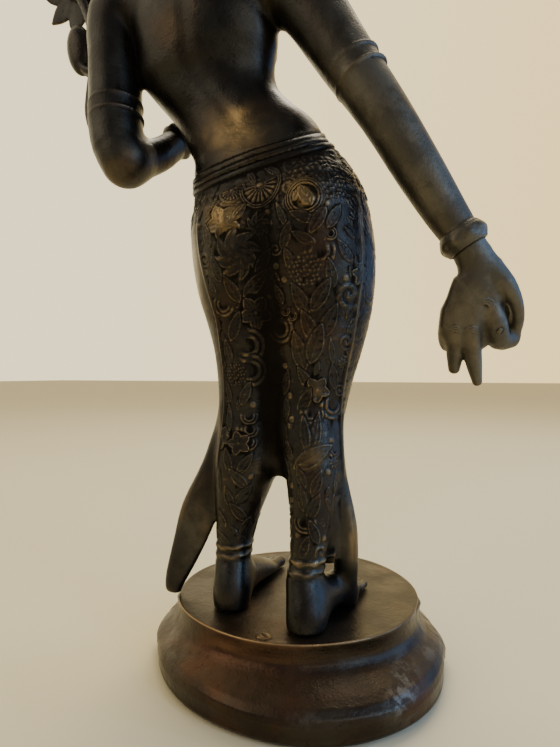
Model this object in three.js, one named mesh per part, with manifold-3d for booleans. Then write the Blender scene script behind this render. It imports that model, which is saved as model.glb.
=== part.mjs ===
// A cast bronze standing goddess on a round lotus plinth, in millimetres, +Z up.
// The figure faces -Y, its right hand side is -X, and the origin is the middle of the underside.

import * as THREE from 'three';
import { LoftGeometry } from 'three/addons/geometries/LoftGeometry.js';
import { mergeVertices } from 'three/addons/utils/BufferGeometryUtils.js';
import Module from 'manifold-3d';

const wasm = await Module();
wasm.setup();

// Driving sizes
const PLINTH_TOP = 29.7;      // the flat top of the plinth
const GAP = 0.3;              // between the plinth and the figure that stands on it
const FOOT_LEVEL = PLINTH_TOP + GAP;
const DISC_RADIUS = 58;       // edge of the plinth's top disc
const BULGE_RADIUS = 69.6;    // widest part of the lower tier
const UNDERSIDE_RADIUS = 66.5;  // the flat disc that it rests on
const TIER_OVAL = { stretch: 0.04, azimuth: 140 }; // the lower tier is a little oval
const DRUM_SHIFT = [0, -1]; // the upper drum was cast a little off the lower tier's middle
const DRUM_OVAL = { wide: 1.01, deep: 0.95, azimuth: 22 };
const STAND = [0, -3.8];    // where the figure's own plumb line stands on the plinth
const PETAL_COUNT = 9;       // lotus petals in each row, round the front and the sides
const PETAL_ARC = { middle: 288, degrees: 216 };  // the plinth's plain part is behind the left hip
// The belt lies in a sloping plane through a point on the left hip, with three cords side by side
const BELT = {
  x: 55, y: 8, z: 232.7, fallX: -0.186, fallY: -0.36, cords: 3, pitch: 3.1, ridge: 2, valley: 0.8, depth: 4,
};
const RELIEF = 1;             // how far the skirt's ornament stands out
const SCALLOPS = { count: 7, from: 24, to: 156, below: 10, size: [6.4, 5.4] };
const ROSETTES = [
  { degrees: 122, height: 210, radius: 10 }, { degrees: 62, height: 206, radius: 9 },
  { degrees: 176, height: 190, radius: 8 }, { degrees: 4, height: 188, radius: 8 },
];
const LEAVES = [
  { degrees: 106, from: 174, step: 24, count: 3, size: [4, 10.5], turn: 16 },
  { degrees: 130, from: 166, step: 24, count: 2, size: [4, 10.5], turn: -16 },
  { degrees: 60, from: 170, step: 24, count: 3, size: [4, 10.5], turn: 16 },
];
const HEMS = {
  height: 6.4,
  fall: 1.2,
  rings: [{ at: [24, 25, 57.6], radius: 9.6 }, { at: [-14.6, 30.6, 57], radius: 9 }],
};
const HEAD = { at: [45, 3, 389], tilt: -9, nod: 4 };
const FLOWER = { at: [146, -5, 376], radius: 29, petals: 7 };

const DEGREE = Math.PI / 180;
const point = (x, y, z) => new THREE.Vector3(x, y, z);

// Closed solids from the geometry classes

function solid(geometry) {
  const plain = new THREE.BufferGeometry();
  plain.setAttribute('position', geometry.attributes.position);
  if (geometry.index) plain.setIndex(geometry.index);
  const merged = mergeVertices(plain, 1e-4);
  return new wasm.Manifold(new wasm.Mesh({
    numProp: 3,
    vertProperties: merged.attributes.position.array,
    triVerts: new Uint32Array(merged.index.array),
  }));
}

function join(solids) {
  return solids.reduce((whole, next) => whole.add(next));
}

function placed(geometry, at, turn = [0, 0, 0]) {
  const matrix = new THREE.Matrix4().makeRotationFromEuler(new THREE.Euler(...turn.map((d) => d * DEGREE)));
  return geometry.clone().applyMatrix4(matrix.setPosition(...at));
}

// An oval ball with half sizes along its own axes
function ball(at, radii, turn = [0, 0, 0], sides = 12, rows = 8) {
  const sphere = new THREE.SphereGeometry(1, sides, rows).rotateX(90 * DEGREE).scale(...radii);
  return solid(placed(sphere, at, turn));
}

// A smooth value of one column of the rows, from 0 at the first row to 1 at the last
function blend(rows, column, along) {
  return new THREE.SplineCurve(rows.map((row, i) => new THREE.Vector2(i, row[column]))).getPoint(along).y;
}

// Level oval sections: each row is z, centre x, centre y, half width, half depth
function stack(rows, levels, sides) {
  const sections = [];
  for (let i = 0; i <= levels; i += 1) {
    const [z, cx, cy, a, b] = [0, 1, 2, 3, 4].map((column) => blend(rows, column, i / levels));
    const ring = [];
    for (let j = 0; j < sides; j += 1) {
      const angle = (j / sides) * 2 * Math.PI;
      ring.push(point(cx + a * Math.cos(angle), cy + b * Math.sin(angle), z));
    }
    sections.push(ring);
  }
  return solid(new LoftGeometry(sections, { capStart: true, capEnd: true }));
}

// A limb: each row is x, y, z, half width and, where it isn't round, half depth.
// `across` is the direction that the half width is measured in, and both ends are domed.
function limb(rows, { steps = 10, sides = 10, across = [1, 0, 0], dome = 2 } = {}) {
  const full = rows.map((row) => [...row, row[4] ?? row[3]].slice(0, 5));
  const place = (t) => point(...[0, 1, 2].map((column) => blend(full, column, t)));
  const sections = [];
  const section = (t, shrink, push) => {
    const along = place(Math.min(t + 0.01, 1)).sub(place(Math.max(t - 0.01, 0))).normalize();
    const deep = along.clone().cross(point(...across)).normalize();
    const wide = deep.clone().cross(along);
    const [a, b] = [blend(full, 3, t) * shrink, blend(full, 4, t) * shrink];
    const centre = place(t).addScaledVector(along, push);
    const ring = [];
    for (let j = 0; j < sides; j += 1) {
      const angle = (j / sides) * 2 * Math.PI;
      const rim = centre.clone().addScaledVector(wide, a * Math.cos(angle));
      ring.push(rim.addScaledVector(deep, b * Math.sin(angle)));
    }
    sections.push(ring);
  };
  const reach = (row) => Math.min(row[3], row[4]);
  for (let i = dome; i > 0; i -= 1) {
    const angle = (i / (dome + 0.4)) * 90 * DEGREE;
    section(0, Math.cos(angle), -reach(full[0]) * Math.sin(angle));
  }
  for (let i = 0; i <= steps; i += 1) section(i / steps, 1, 0);
  for (let i = 1; i <= dome; i += 1) {
    const angle = (i / (dome + 0.4)) * 90 * DEGREE;
    section(1, Math.cos(angle), reach(full.at(-1)) * Math.sin(angle));
  }
  return solid(new LoftGeometry(sections, { capStart: true, capEnd: true }));
}

// A ring round a limb, such as a bracelet
function hoop({ at, along, radius, bar, sides }) {
  const turn = new THREE.Quaternion().setFromUnitVectors(point(0, 0, 1), point(...along).normalize());
  return solid(new THREE.TorusGeometry(radius, bar, 5, sides).applyQuaternion(turn).translate(...at));
}

// The plinth: a lathed body with two rows of lotus petals round its front and sides

const DRUM_RADIUS = 56.6;
const GROOVE_HEIGHT = 17.5;
const LOWER_PROFILE = [
  [0, 0], [UNDERSIDE_RADIUS, 0], [68.9, 1.8], [BULGE_RADIUS, 9.6], [66.4, 14.8], [61, GROOVE_HEIGHT],
  [0, GROOVE_HEIGHT],
];
const DRUM_PROFILE = [
  [0, GROOVE_HEIGHT - 2], [DRUM_RADIUS + 2, GROOVE_HEIGHT - 2], [DRUM_RADIUS, 21.5],
  [DISC_RADIUS, 28.4], [DISC_RADIUS - 0.8, PLINTH_TOP], [0, PLINTH_TOP],
];

// One petal: a pointed leaf on a leaning wall, from its root to its tip, each a radius and a height
function plinthPetal(angle, root, tip) {
  const HALF_WIDTH = 10.4;
  const SWELL = 2.6;
  const WIDTHS = [0.85, 1, 0.1];
  const LENGTHS = [0, 0.55, 1];
  const out = point(Math.cos(angle), Math.sin(angle), 0);
  const side = point(-Math.sin(angle), Math.cos(angle), 0);
  const sections = LENGTHS.map((along, i) => {
    const radius = root[0] + (tip[0] - root[0]) * along;
    const z = root[1] + (tip[1] - root[1]) * along;
    const half = HALF_WIDTH * WIDTHS[i];
    const at = (s, r) => out.clone().multiplyScalar(radius + r).addScaledVector(side, s).setZ(z);
    const ring = [at(0, -4), at(half, -1), at(0, SWELL * WIDTHS[i]), at(-half, -1)];
    return tip[1] > root[1] ? ring.reverse() : ring;
  });
  return solid(new LoftGeometry(sections, { capStart: true, capEnd: true }));
}

function buildPlinth() {
  const lathe = (profile) => new THREE.LatheGeometry(profile.map(([r, z]) => new THREE.Vector2(r, z)), 26)
    .rotateX(90 * DEGREE);
  const drum = [solid(lathe(DRUM_PROFILE))];
  const tier = [solid(lathe(LOWER_PROFILE))];
  const tipHeight = (angle) => 27 + 5.4 * Math.max(0, Math.cos(angle - 300 * DEGREE)) ** 2;
  for (let i = 0; i < PETAL_COUNT; i += 1) {
    const middle = (PETAL_ARC.middle + PETAL_ARC.degrees * ((i + 0.5) / PETAL_COUNT - 0.5)) * DEGREE;
    const drumTip = [DISC_RADIUS + 2.6, tipHeight(middle)];
    drum.push(plinthPetal(middle, [DRUM_RADIUS + 1.6, GROOVE_HEIGHT - 1], drumTip));
    tier.push(plinthPetal(middle, [62, GROOVE_HEIGHT - 0.6], [BULGE_RADIUS - 0.5, 3]));
  }
  const PLUG = { x: -3.5, y: 52.5, radius: 3.2, height: 0.9 };
  const plug = new THREE.CylinderGeometry(PLUG.radius * 0.8, PLUG.radius, PLUG.height * 2, 8)
    .rotateX(90 * DEGREE);
  const upper = join(drum).add(solid(plug.translate(PLUG.x, PLUG.y, PLINTH_TOP)))
    .rotate([0, 0, -DRUM_OVAL.azimuth])
    .scale([DRUM_OVAL.wide, DRUM_OVAL.deep, 1])
    .rotate([0, 0, DRUM_OVAL.azimuth]);
  const lower = join(tier).rotate([0, 0, -TIER_OVAL.azimuth])
    .scale([1 + TIER_OVAL.stretch, 1 - TIER_OVAL.stretch, 1])
    .rotate([0, 0, TIER_OVAL.azimuth]);
  return lower.add(upper.translate([...DRUM_SHIFT, 0]));
}

// The body under the skirt and above it

const TRUNK = [
  [136, 3.9, 13, 26, 12], [150, 3.5, 12, 32, 16.5], [165, 4, 11, 38, 20.5], [184, 5.5, 11, 43.4, 24.5],
  [196, 6.5, 11, 45.1, 26], [208, 7.7, 11, 44.6, 26.5], [218, 8.4, 10.5, 43, 26.3],
  [228, 11.1, 9.5, 41.6, 25.3], [236, 14.3, 9, 38.6, 24], [244, 18.2, 8, 35.5, 22],
  [252, 22.2, 7.5, 35.6, 20.2], [260, 27, 7, 34.8, 18.8],
  [268, 34, 7, 32.8, 18], [276, 41, 7.5, 32.6, 18.2], [284, 45.8, 8, 34.7, 19], [292, 48.4, 9, 37.8, 20.5],
  [300, 47.6, 10, 38.8, 21.5], [310, 48.2, 11, 39.4, 22], [322, 49.8, 12, 40, 21], [334, 51, 12.5, 38, 18.5],
  [343, 52, 12.5, 30, 15.5], [350, 52, 12, 17, 12.5],
];
const BREASTS = { across: [32, 65], y: -10, z: 310, radii: [14.5, 16, 14.5] };
const SHOULDERS = [
  [-2, 12, 322, 14], [22, 12, 335, 13.5], [52, 12, 341, 14], [78, 12, 338.5, 13.5], [98, 12, 333, 14],
];
const RIGHT_LEG = [
  [-9, 13, 229, 16, 16], [-11, 15.5, 214, 23, 23.5], [-11.8, 14.8, 198, 25, 24.5],
  [-13.2, 12.4, 182, 25.8, 24], [-13.4, 11, 166, 24.4, 23], [-12.8, 12, 151, 21.5],
  [-11.5, 13.5, 135, 18.3], [-10.8, 16, 119, 16], [-12.2, 19.5, 104, 14.4],
  [-14.4, 22.5, 91, 12.4], [-15, 25.5, 77, 10.2], [-14.8, 28.5, 65, 8.4], [-14.6, 31, 55, 7.6],
  [-14, 33.5, 46, 6.9], [-14.8, 35, 39, 6.8],
];
const LEFT_LEG = [
  [25, 14, 224, 16, 16], [26, 15.5, 210, 22, 23.5], [24.5, 15, 196, 24, 24.5], [23, 12.4, 180, 24.8, 24],
  [21, 11, 165, 22.8, 22.6], [19, 12, 151, 20.8], [19, 13, 135, 18.2], [19.6, 14.5, 119, 16.3],
  [19.9, 17, 104, 15.6],
  [20.8, 19.5, 91, 14.8], [22.8, 21.5, 77, 12], [23.8, 23.5, 65, 9.4], [24, 25, 55, 8.2],
  [23.8, 26.5, 46, 7.6], [22.6, 29, 39, 7.4],
];
// The cloth that spans the legs, down to the arch between the calves
const WEB = [
  [89, 0.6, 18, 7, 5], [97, 1.5, 17, 12, 8], [110, 3, 15, 15, 10], [125, 3, 13, 18, 12],
  [150, 3, 12, 22, 15],
];
const TAILS = [
  [[31, 16, 122, 3, 4], [34.8, 18, 105, 4.8, 4.6], [37.6, 20.5, 90, 6.8, 4.4], [43.6, 24, 70, 9.9, 3.6],
    [48.3, 26.5, 54, 8.5, 3], [53.6, 29, 38, 5.8, 3], [54.6, 30, 32, 4.4, 2.6]],
  [[-20, 16, 122, 3, 4], [-21.5, 17.5, 104, 4.6, 4.6], [-23, 18, 88, 6, 5], [-26, 18, 69, 7.2, 4.6],
    [-27.6, 16.5, 55, 6, 4.4], [-27.4, 13.5, 42, 5, 4.6], [-26, 10.5, 33, 5.6, 5.4]],
];
// The cloth between the right ankle and the right tail, down to the small hole beside the heel
const ANKLE_CLOTH = [[-19, 24, 80, 5, 4], [-20.5, 23, 67, 5.5, 3.6], [-21.4, 22, 55, 4.4, 3]];

const FEET = [
  { heel: [-17.6, 46], toes: [-21, -12], lean: -0.5 },
  { heel: [21.6, 37.5], toes: [27, -20], lean: 0.5 },
];

// A bare foot from its heel to its toes; the sole is cut flat at the level that the figure stands on
function foot({ heel, toes, lean }) {
  const along = [toes[0] - heel[0], toes[1] - heel[1]];
  const at = (t, x, z, a, b) => [heel[0] + along[0] * t + x, heel[1] + along[1] * t, z, a, b];
  const rows = [
    at(0.13, 0, 36.5, 7.2, 7.6), at(0.32, 0, 38.5, 7.6, 9.4), at(0.52, lean * 0.6, 37, 8.8, 7.6),
    at(0.72, lean, 34.6, 10.4, 5.4), at(0.86, lean, 33, 10, 3.8),
  ];
  const pieces = [limb(rows, { steps: 3, sides: 6, dome: 1 })];
  const inside = Math.sign(heel[0]);
  for (let toe = 0; toe < 5; toe += 1) {
    const size = toe === 0 ? 3 : 2.4 - toe * 0.12;
    const reach = [0.6, 0, 1, 2.4, 4.4][toe];
    const at = [toes[0] + lean - inside * (8 - toe * 4.1), toes[1] + reach + 2, FOOT_LEVEL + size * 0.85];
    pieces.push(ball(at, [size, size * 2.2, size], [0, 0, 0], 4, 3));
  }
  return join(pieces);
}

function buildLegs() {
  const pieces = [
    limb(RIGHT_LEG, { steps: 11, sides: 8, dome: 1 }),
    limb(LEFT_LEG, { steps: 11, sides: 8, dome: 1 }),
    stack(WEB, 3, 6),
    ...FEET.map(foot),
    ...TAILS.map((rows) => limb(rows, { steps: 5, sides: 5, dome: 1 })),
    limb(ANKLE_CLOTH, { steps: 1, sides: 4, dome: 0 }),
  ];
  const below = solid(new THREE.BoxGeometry(200, 200, 40).translate(0, 0, FOOT_LEVEL - 20));
  return join(pieces).subtract(below);
}

function buildTrunk() {
  const breasts = BREASTS.across.map((x) => ball([x, BREASTS.y, BREASTS.z], BREASTS.radii, [0, 0, 0], 8, 6));
  return join([
    stack(TRUNK, 15, 16),
    limb(SHOULDERS, { steps: 4, sides: 7, across: [0, 1, 0], dome: 0 }),
    ...breasts,
  ]);
}

// Arms and hands

const RIGHT_ARM = [
  [7, 12, 332, 14], [-1.4, 11.5, 321.6, 16.4], [-12.3, 12, 305.4, 14.8], [-26.8, 13, 280.6, 13.2],
  [-44.3, 14, 252.4, 11.4], [-58.6, 12, 226.7, 10.5], [-69.8, 9, 207, 9.2], [-78, 8, 193.5, 7.8],
  [-82.5, 6.8, 185, 7.2, 6],
];
const LEFT_ARM = [
  [93, 12, 342, 12.5], [102.4, 12, 335, 14.6], [103.8, 13, 324, 15], [101.2, 16, 307, 14.1],
  [98.6, 19, 285, 13.9], [97.3, 20.5, 270, 14.1], [94.4, 21.5, 257, 13.7], [90.8, 20, 248.3, 12.8],
];
const LEFT_FOREARM = [
  [89.8, 20, 248.5, 11.8], [86.5, 9, 253.5, 10], [82.5, -1, 260, 8.8], [77.8, -16, 274, 7.2],
  [73, -26, 283, 7, 5.6],
];
const RIGHT_PALM = [
  [-82.3, 6.8, 186, 7.2, 5.8], [-84.4, 5.8, 179, 10.4, 6], [-82.8, 4.5, 171, 11.8, 6],
  [-80.6, 3, 163, 12, 5.4], [-80.2, 1.4, 155, 10.8, 4.4],
];
const LEFT_PALM = [
  [74, -24, 281, 6.6, 5.6], [69, -31, 289, 9.6, 5.8], [64.5, -34.5, 298, 9.4, 5.2],
];
const RIGHT_FINGERS = [
  [[-71.7, 2, 163, 3.7], [-69.9, 0, 154.5, 3.5], [-70, -6, 149.5, 3.1], [-72, -9.5, 152, 2.6]],
  [[-75.8, 2.5, 164, 3.9], [-74, 1, 154, 3.8], [-73.6, -2.5, 145, 3.7], [-73.1, -3.5, 138.6, 2.6]],
  [[-82, 2.5, 165, 4], [-80.5, 1, 154, 4], [-81.4, -1.5, 142.4, 3.7], [-82.9, -2.4, 132.8, 2.2]],
  [[-88.4, 1.5, 167, 4.7], [-90.4, 0.5, 158, 5.1], [-91.8, -4.5, 151.8, 5], [-96.6, -11, 151.8, 4.1]],
  [[-89, 5.5, 181, 4.8], [-94.2, 3.5, 174.5, 4.5], [-98.4, 0, 167, 3.2], [-99.4, -6, 160, 2.9],
    [-97.8, -11.5, 154.5, 3.2]],
  [[-95.4, -8, 166, 2.4], [-96, -10.4, 156, 3.2]],
];
const LEFT_FINGERS = [
  [[60.5, -37.5, 303, 3.3], [57, -43, 309, 3], [57.5, -44, 317, 2.6], [59, -42, 323, 2.1]],
  [[65, -38, 304, 3.4], [63, -44, 310, 3.1], [64, -44.5, 319, 2.8], [65, -42.5, 326, 2.2]],
  [[69.5, -37, 303.5, 3.4], [69.5, -42.5, 309, 3.1], [70.5, -43, 318, 2.7], [71, -41, 324, 2.2]],
  [[73.5, -35, 301, 3.4], [77, -40, 305, 3.2], [76.5, -45, 300, 2.8], [72, -47, 296, 2.4]],
  [[71, -29, 285, 4], [75, -36, 288, 3.6], [74.5, -43, 291.5, 3.2], [71.5, -47, 294, 2.6]],
];

const BRACELETS = [
  { at: [-77.4, 8, 193.6], along: [-0.46, -0.09, -0.88], radius: 8.2, bar: 2.8, sides: 10 },
  { at: [79.2, -12.5, 271], along: [-0.22, -0.73, 0.64], radius: 7.2, bar: 2.6, sides: 9 },
];
const ARMBANDS = [
  [[-29.6, 13, 277.4, 14.7], [-35.2, 13.4, 268, 14.1]],
  [[97.8, 19.4, 279, 15], [96.6, 20.4, 270.4, 15.3]],
];

function buildArms() {
  return join([
    limb(RIGHT_ARM, { steps: 7, sides: 9, dome: 1 }),
    limb(LEFT_ARM, { steps: 6, sides: 9, dome: 1 }),
    limb(LEFT_FOREARM, { steps: 4, sides: 7, dome: 1 }),
    limb(RIGHT_PALM, { steps: 3, sides: 7, across: [-0.93, -0.3, 0.2], dome: 1 }),
    limb(LEFT_PALM, { steps: 2, sides: 6, across: [0.9, 0.1, 0.4], dome: 1 }),
    ...RIGHT_FINGERS.map((rows) => limb(rows, { steps: rows.length - 1, sides: 4, dome: 1 })),
    ...LEFT_FINGERS.map((rows) => limb(rows, { steps: 2, sides: 4, dome: 1 })),
    ...BRACELETS.map(hoop),
    ...ARMBANDS.map((rows) => limb(rows, { steps: 1, sides: 8, dome: 0 })),
  ]);
}

// The lotus that the left hand holds: stem, bud and open flower beside the shoulder

const STEM = [
  [72, -46, 294, 2.2], [80, -38, 280, 2.3], [92, -20, 268, 2.4], [105, -6, 263, 2.6], [114, 4, 264.5, 2.7],
  [119.5, 9, 271, 2.8], [124, 10, 284, 2.8], [123.6, 9.5, 298, 2.8], [122.6, 8, 313, 3], [126, 5, 332, 3],
  [134, 0, 350, 3.2], [143, -3, 366, 3.6],
];

function flowerPetal(turn, radius, half, opening) {
  const WIDTHS = [0.4, 1, 0.8, 0.08];
  const sections = WIDTHS.map((width, i) => {
    const along = i / (WIDTHS.length - 1);
    const forward = -opening * Math.sin(along * 150 * DEGREE);
    const a = half * width;
    const outline = [[-a, 0], [0, 1.5], [a, 0], [0, -1.5 - width]];
    return outline.map(([s, lift]) => point(radius * along, forward + lift, s));
  });
  const petal = new LoftGeometry(sections, { capStart: true, capEnd: true });
  return solid(petal.rotateY(-turn * DEGREE).translate(...FLOWER.at));
}

function buildLotus() {
  const pieces = [
    limb(STEM, { steps: 11, sides: 4, dome: 1 }),
    ball([137.5, 3, 328], [9, 6, 16], [0, 12, 0], 7, 5),
    limb([[121, 6, 311, 2.6], [129, 5, 313, 2.8], [136, 4, 318, 3]], { steps: 2, sides: 5, dome: 1 }),
    ball(FLOWER.at, [10, 7, 10], [0, 0, 0], 8, 4),
  ];
  for (let i = 0; i < FLOWER.petals; i += 1) {
    pieces.push(flowerPetal((i * 360) / FLOWER.petals, FLOWER.radius, 8, 3));
  }
  return join(pieces);
}

// Head, hair and crown, in a frame of their own that leans with the neck

const FEATURES = [
  { at: [0, 0, -1], radii: [18.4, 21, 25], sides: 11, rows: 8 },      // skull
  { at: [0, -6, -12], radii: [12.5, 12.5, 12.5], sides: 8, rows: 6 },  // jaw and chin
  { at: [0, 3.4, 4], radii: [20.4, 21.6, 20], sides: 10, rows: 6 },    // hair
  { at: [0, -22.4, -4], radii: [2.5, 3, 6], lean: -14 },               // bridge of the nose
  { at: [0, -23.6, -7.6], radii: [3.7, 2.8, 2.3] },                    // tip of the nose
  { at: [0, -18.2, -14], radii: [5.6, 3.4, 1.6] },                     // upper lip
  { at: [0, -17.4, -16.8], radii: [4.4, 3.4, 1.6] },                   // lower lip
];
const PAIRED_FEATURES = [
  { at: [8, -18.4, 0], radii: [4.6, 2.5, 2], turn: 16 },               // eyelids
  { at: [8, -18, 5.2], radii: [6, 2.4, 1], roll: 8, turn: 18 },        // brows
  { at: [19, 1, -4], radii: [2, 4, 7.5] },                             // ears
];
const EARRINGS = { at: [20, 1, -15], radius: 5, bar: 2 };
const BUN = [
  [0, 14], [17.5, 15], [16.8, 22], [17.2, 28], [14.4, 35], [14.8, 41], [11, 49], [9.4, 55], [3.4, 61],
  [0, 68],
];
const DIADEM = { count: 3, spread: 42, width: 5.4, height: 13, wide: 19, deep: 20, z: 14 };
const NECK = [[51, 12, 345, 14.5], [49.5, 9, 357, 12], [48, 6, 368, 12.5]];

function buildHead() {
  const place = new THREE.Matrix4()
    .makeRotationFromEuler(new THREE.Euler(HEAD.nod * DEGREE, HEAD.tilt * DEGREE, 0))
    .setPosition(...HEAD.at);
  const put = (geometry) => solid(geometry.applyMatrix4(place));
  const oval = ({ at, radii, lean = 0, roll = 0, turn = 0, sides = 6, rows = 3 }) => {
    const sphere = new THREE.SphereGeometry(1, sides, rows).rotateX(90 * DEGREE).scale(...radii);
    return put(placed(sphere, at, [lean, roll, turn]));
  };
  const lathe = new THREE.LatheGeometry(BUN.map(([r, z]) => new THREE.Vector2(r, z)), 8).rotateX(90 * DEGREE);
  const pieces = [...FEATURES.map(oval), put(lathe.translate(0, 3, 0))];
  for (const side of [-1, 1]) {
    for (const { at: [x, y, z], radii, roll = 0, turn = 0 } of PAIRED_FEATURES) {
      pieces.push(oval({ at: [side * x, y, z], radii, roll: side * roll, turn: side * turn, sides: 5 }));
    }
    const [x, y, z] = EARRINGS.at;
    const ring = new THREE.TorusGeometry(EARRINGS.radius, EARRINGS.bar, 3, 7).rotateY(90 * DEGREE);
    pieces.push(put(ring.translate(side * x, y, z)));
  }
  for (let i = 0; i < DIADEM.count; i += 1) {
    const turn = (i - (DIADEM.count - 1) / 2) * DIADEM.spread * DEGREE;
    const height = DIADEM.height - 2 * Math.abs(turn / (DIADEM.spread * DEGREE));
    const leaf = new THREE.ConeGeometry(DIADEM.width, height * 2, 4).rotateX(90 * DEGREE).scale(1, 0.55, 1);
    const [x, y] = [DIADEM.wide * Math.sin(turn), 3 - DIADEM.deep * Math.cos(turn)];
    pieces.push(put(leaf.rotateZ(turn).translate(x, y, DIADEM.z + height * 0.4)));
  }
  return join([...pieces, limb(NECK, { steps: 2, sides: 8, dome: 1 })]);
}

// Belt, hems and the larger ornament of the skirt

function trunkSection(z) {
  const above = TRUNK.findIndex((row) => row[0] > z);
  const [low, high] = [TRUNK[above - 1], TRUNK[above]];
  const t = (z - low[0]) / (high[0] - low[0]);
  return [1, 2, 3, 4].map((column) => low[column] * (1 - t) + high[column] * t);
}

// The point of the sloping belt line at an angle round the body, raised and lifted off the surface
function beltPoint(angle, rise, lift) {
  let at = point(BELT.x, BELT.y, BELT.z);
  for (let pass = 0; pass < 6; pass += 1) {
    const z = BELT.z + BELT.fallX * (at.x - BELT.x) + BELT.fallY * (at.y - BELT.y) + rise;
    const [cx, cy, a, b] = trunkSection(z);
    at = point(cx + (a + lift) * Math.cos(angle), cy + (b + lift) * Math.sin(angle), z);
  }
  return at;
}

// A band whose outside is ridged with the belt's cords, bent along the belt line
function buildBelt() {
  const SIDES = 17;
  const REACH = 100;
  const half = (BELT.cords * BELT.pitch) / 2;
  const profile = [[-BELT.depth, -half], [BELT.valley, -half]];
  for (let cord = 0; cord < BELT.cords; cord += 1) {
    const middle = (cord + 0.5) * BELT.pitch - half;
    profile.push([BELT.ridge, middle], [BELT.valley, middle + BELT.pitch / 2]);
  }
  profile.push([-BELT.depth, half], [-BELT.depth, -half]);
  const outline = profile.map(([lift, rise]) => new THREE.Vector2(REACH + lift, rise));
  const band = new THREE.LatheGeometry(outline, SIDES).rotateX(90 * DEGREE);
  const at = band.attributes.position;
  for (let i = 0; i < at.count; i += 1) {
    const lift = Math.hypot(at.getX(i), at.getY(i)) - REACH;
    at.setXYZ(i, ...beltPoint(Math.atan2(at.getY(i), at.getX(i)), at.getZ(i), lift));
  }
  return solid(band);
}

// Ornament laid on the skirt: an oval boss where a level line from outside meets the lower body
function skirtBosses(body) {
  const target = mesh('body', body);
  const ray = new THREE.Raycaster();
  const AXIS = { x: 5, y: 11 };
  const bosses = [];
  const lay = (degrees, height, [half, tall], turn = 0, sides = 5) => {
    const out = point(Math.cos(degrees * DEGREE), Math.sin(degrees * DEGREE), 0);
    ray.set(out.clone().multiplyScalar(100).add(point(AXIS.x, AXIS.y, height)), out.clone().negate());
    const hit = ray.intersectObject(target)[0];
    const facing = new THREE.Quaternion().setFromUnitVectors(point(0, 1, 0), hit.face.normal);
    const boss = new THREE.SphereGeometry(1, sides, 3).scale(half, RELIEF * 2, tall).rotateY(turn * DEGREE);
    const centre = hit.point.addScaledVector(hit.face.normal, -RELIEF);
    bosses.push(solid(boss.applyQuaternion(facing).translate(...centre)));
  };
  for (let i = 0; i < SCALLOPS.count; i += 1) {
    const degrees = SCALLOPS.from + (i * (SCALLOPS.to - SCALLOPS.from)) / (SCALLOPS.count - 1);
    lay(degrees, beltPoint(degrees * DEGREE, -SCALLOPS.below, 0).z, SCALLOPS.size);
  }
  for (const { degrees, height, radius } of ROSETTES) lay(degrees, height, [radius, radius], 0, 7);
  for (const { degrees, from, step, count, size, turn } of LEAVES) {
    for (let i = 0; i < count; i += 1) lay(degrees, from - i * step, size, i % 2 ? -turn : turn);
  }
  return join(bosses);
}

function buildHems() {
  return HEMS.rings.map(({ at: [x, y, z], radius }) => limb(
    [[x, y, z, radius], [x, y + HEMS.fall, z - HEMS.height, radius]],
    { steps: 1, sides: 8, dome: 0 },
  ));
}

function buildFigure() {
  const lower = join([buildTrunk(), buildLegs(), buildBelt()]);
  return join([lower, skirtBosses(lower), ...buildHems(), buildArms(), buildHead(), buildLotus()]);
}

// The finished object

function mesh(name, shape, material) {
  const { vertProperties, triVerts } = shape.getMesh();
  const geometry = new THREE.BufferGeometry();
  geometry.setAttribute('position', new THREE.BufferAttribute(vertProperties, 3));
  geometry.setIndex(new THREE.BufferAttribute(triVerts, 1));
  geometry.computeVertexNormals();
  const piece = new THREE.Mesh(geometry, material);
  piece.name = name;
  return piece;
}

const bronze = new THREE.MeshStandardMaterial({ color: 0x4a3526, roughness: 0.42, metalness: 0.9 });
const plinthBronze = new THREE.MeshStandardMaterial({ color: 0x50331f, roughness: 0.4, metalness: 0.9 });

const object = new THREE.Group();
const figure = mesh('figure', buildFigure(), bronze);
figure.position.set(...STAND, 0);
object.add(figure);
object.add(mesh('plinth', buildPlinth(), plinthBronze));

export default object;
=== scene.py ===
"""Cast bronze standing goddess on a round lotus plinth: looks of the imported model."""
import math
import bpy
import numpy as np
from mathutils import Matrix, Vector


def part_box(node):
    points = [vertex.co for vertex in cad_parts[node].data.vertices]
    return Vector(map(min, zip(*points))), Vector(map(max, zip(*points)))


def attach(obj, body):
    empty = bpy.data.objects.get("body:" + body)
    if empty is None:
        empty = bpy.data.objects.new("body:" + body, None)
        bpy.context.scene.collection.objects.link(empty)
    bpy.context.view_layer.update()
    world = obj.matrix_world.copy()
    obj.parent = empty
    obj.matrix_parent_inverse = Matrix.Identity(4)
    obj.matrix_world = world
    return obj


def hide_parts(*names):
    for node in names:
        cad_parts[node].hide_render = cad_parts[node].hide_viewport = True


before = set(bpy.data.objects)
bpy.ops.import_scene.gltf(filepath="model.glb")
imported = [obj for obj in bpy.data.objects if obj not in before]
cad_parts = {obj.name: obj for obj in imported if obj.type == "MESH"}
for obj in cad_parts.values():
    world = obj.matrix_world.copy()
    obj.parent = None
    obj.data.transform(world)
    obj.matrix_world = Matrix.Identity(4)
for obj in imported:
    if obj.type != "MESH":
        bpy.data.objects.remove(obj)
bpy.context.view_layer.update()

STEP = 0.8          # field grid for the body, mm
FINE_STEP = 0.5     # field grid for the head and the hands, mm
STAND = np.array([0.0, -3.8, 0.0])    # the figure's own plumb line on the plinth, mm
FOOT_LEVEL = 30.0
PLINTH_TOP = 29.7

# ---------------------------------------------------------------- camera

CAMERA_AT = (-0.0888, 0.2429, 0.1362)
LOOK = (0.3746, -0.9272, 0.0)
FOCAL_PIXELS = 523.0
PHOTO_HEIGHT = 747.0

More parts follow.
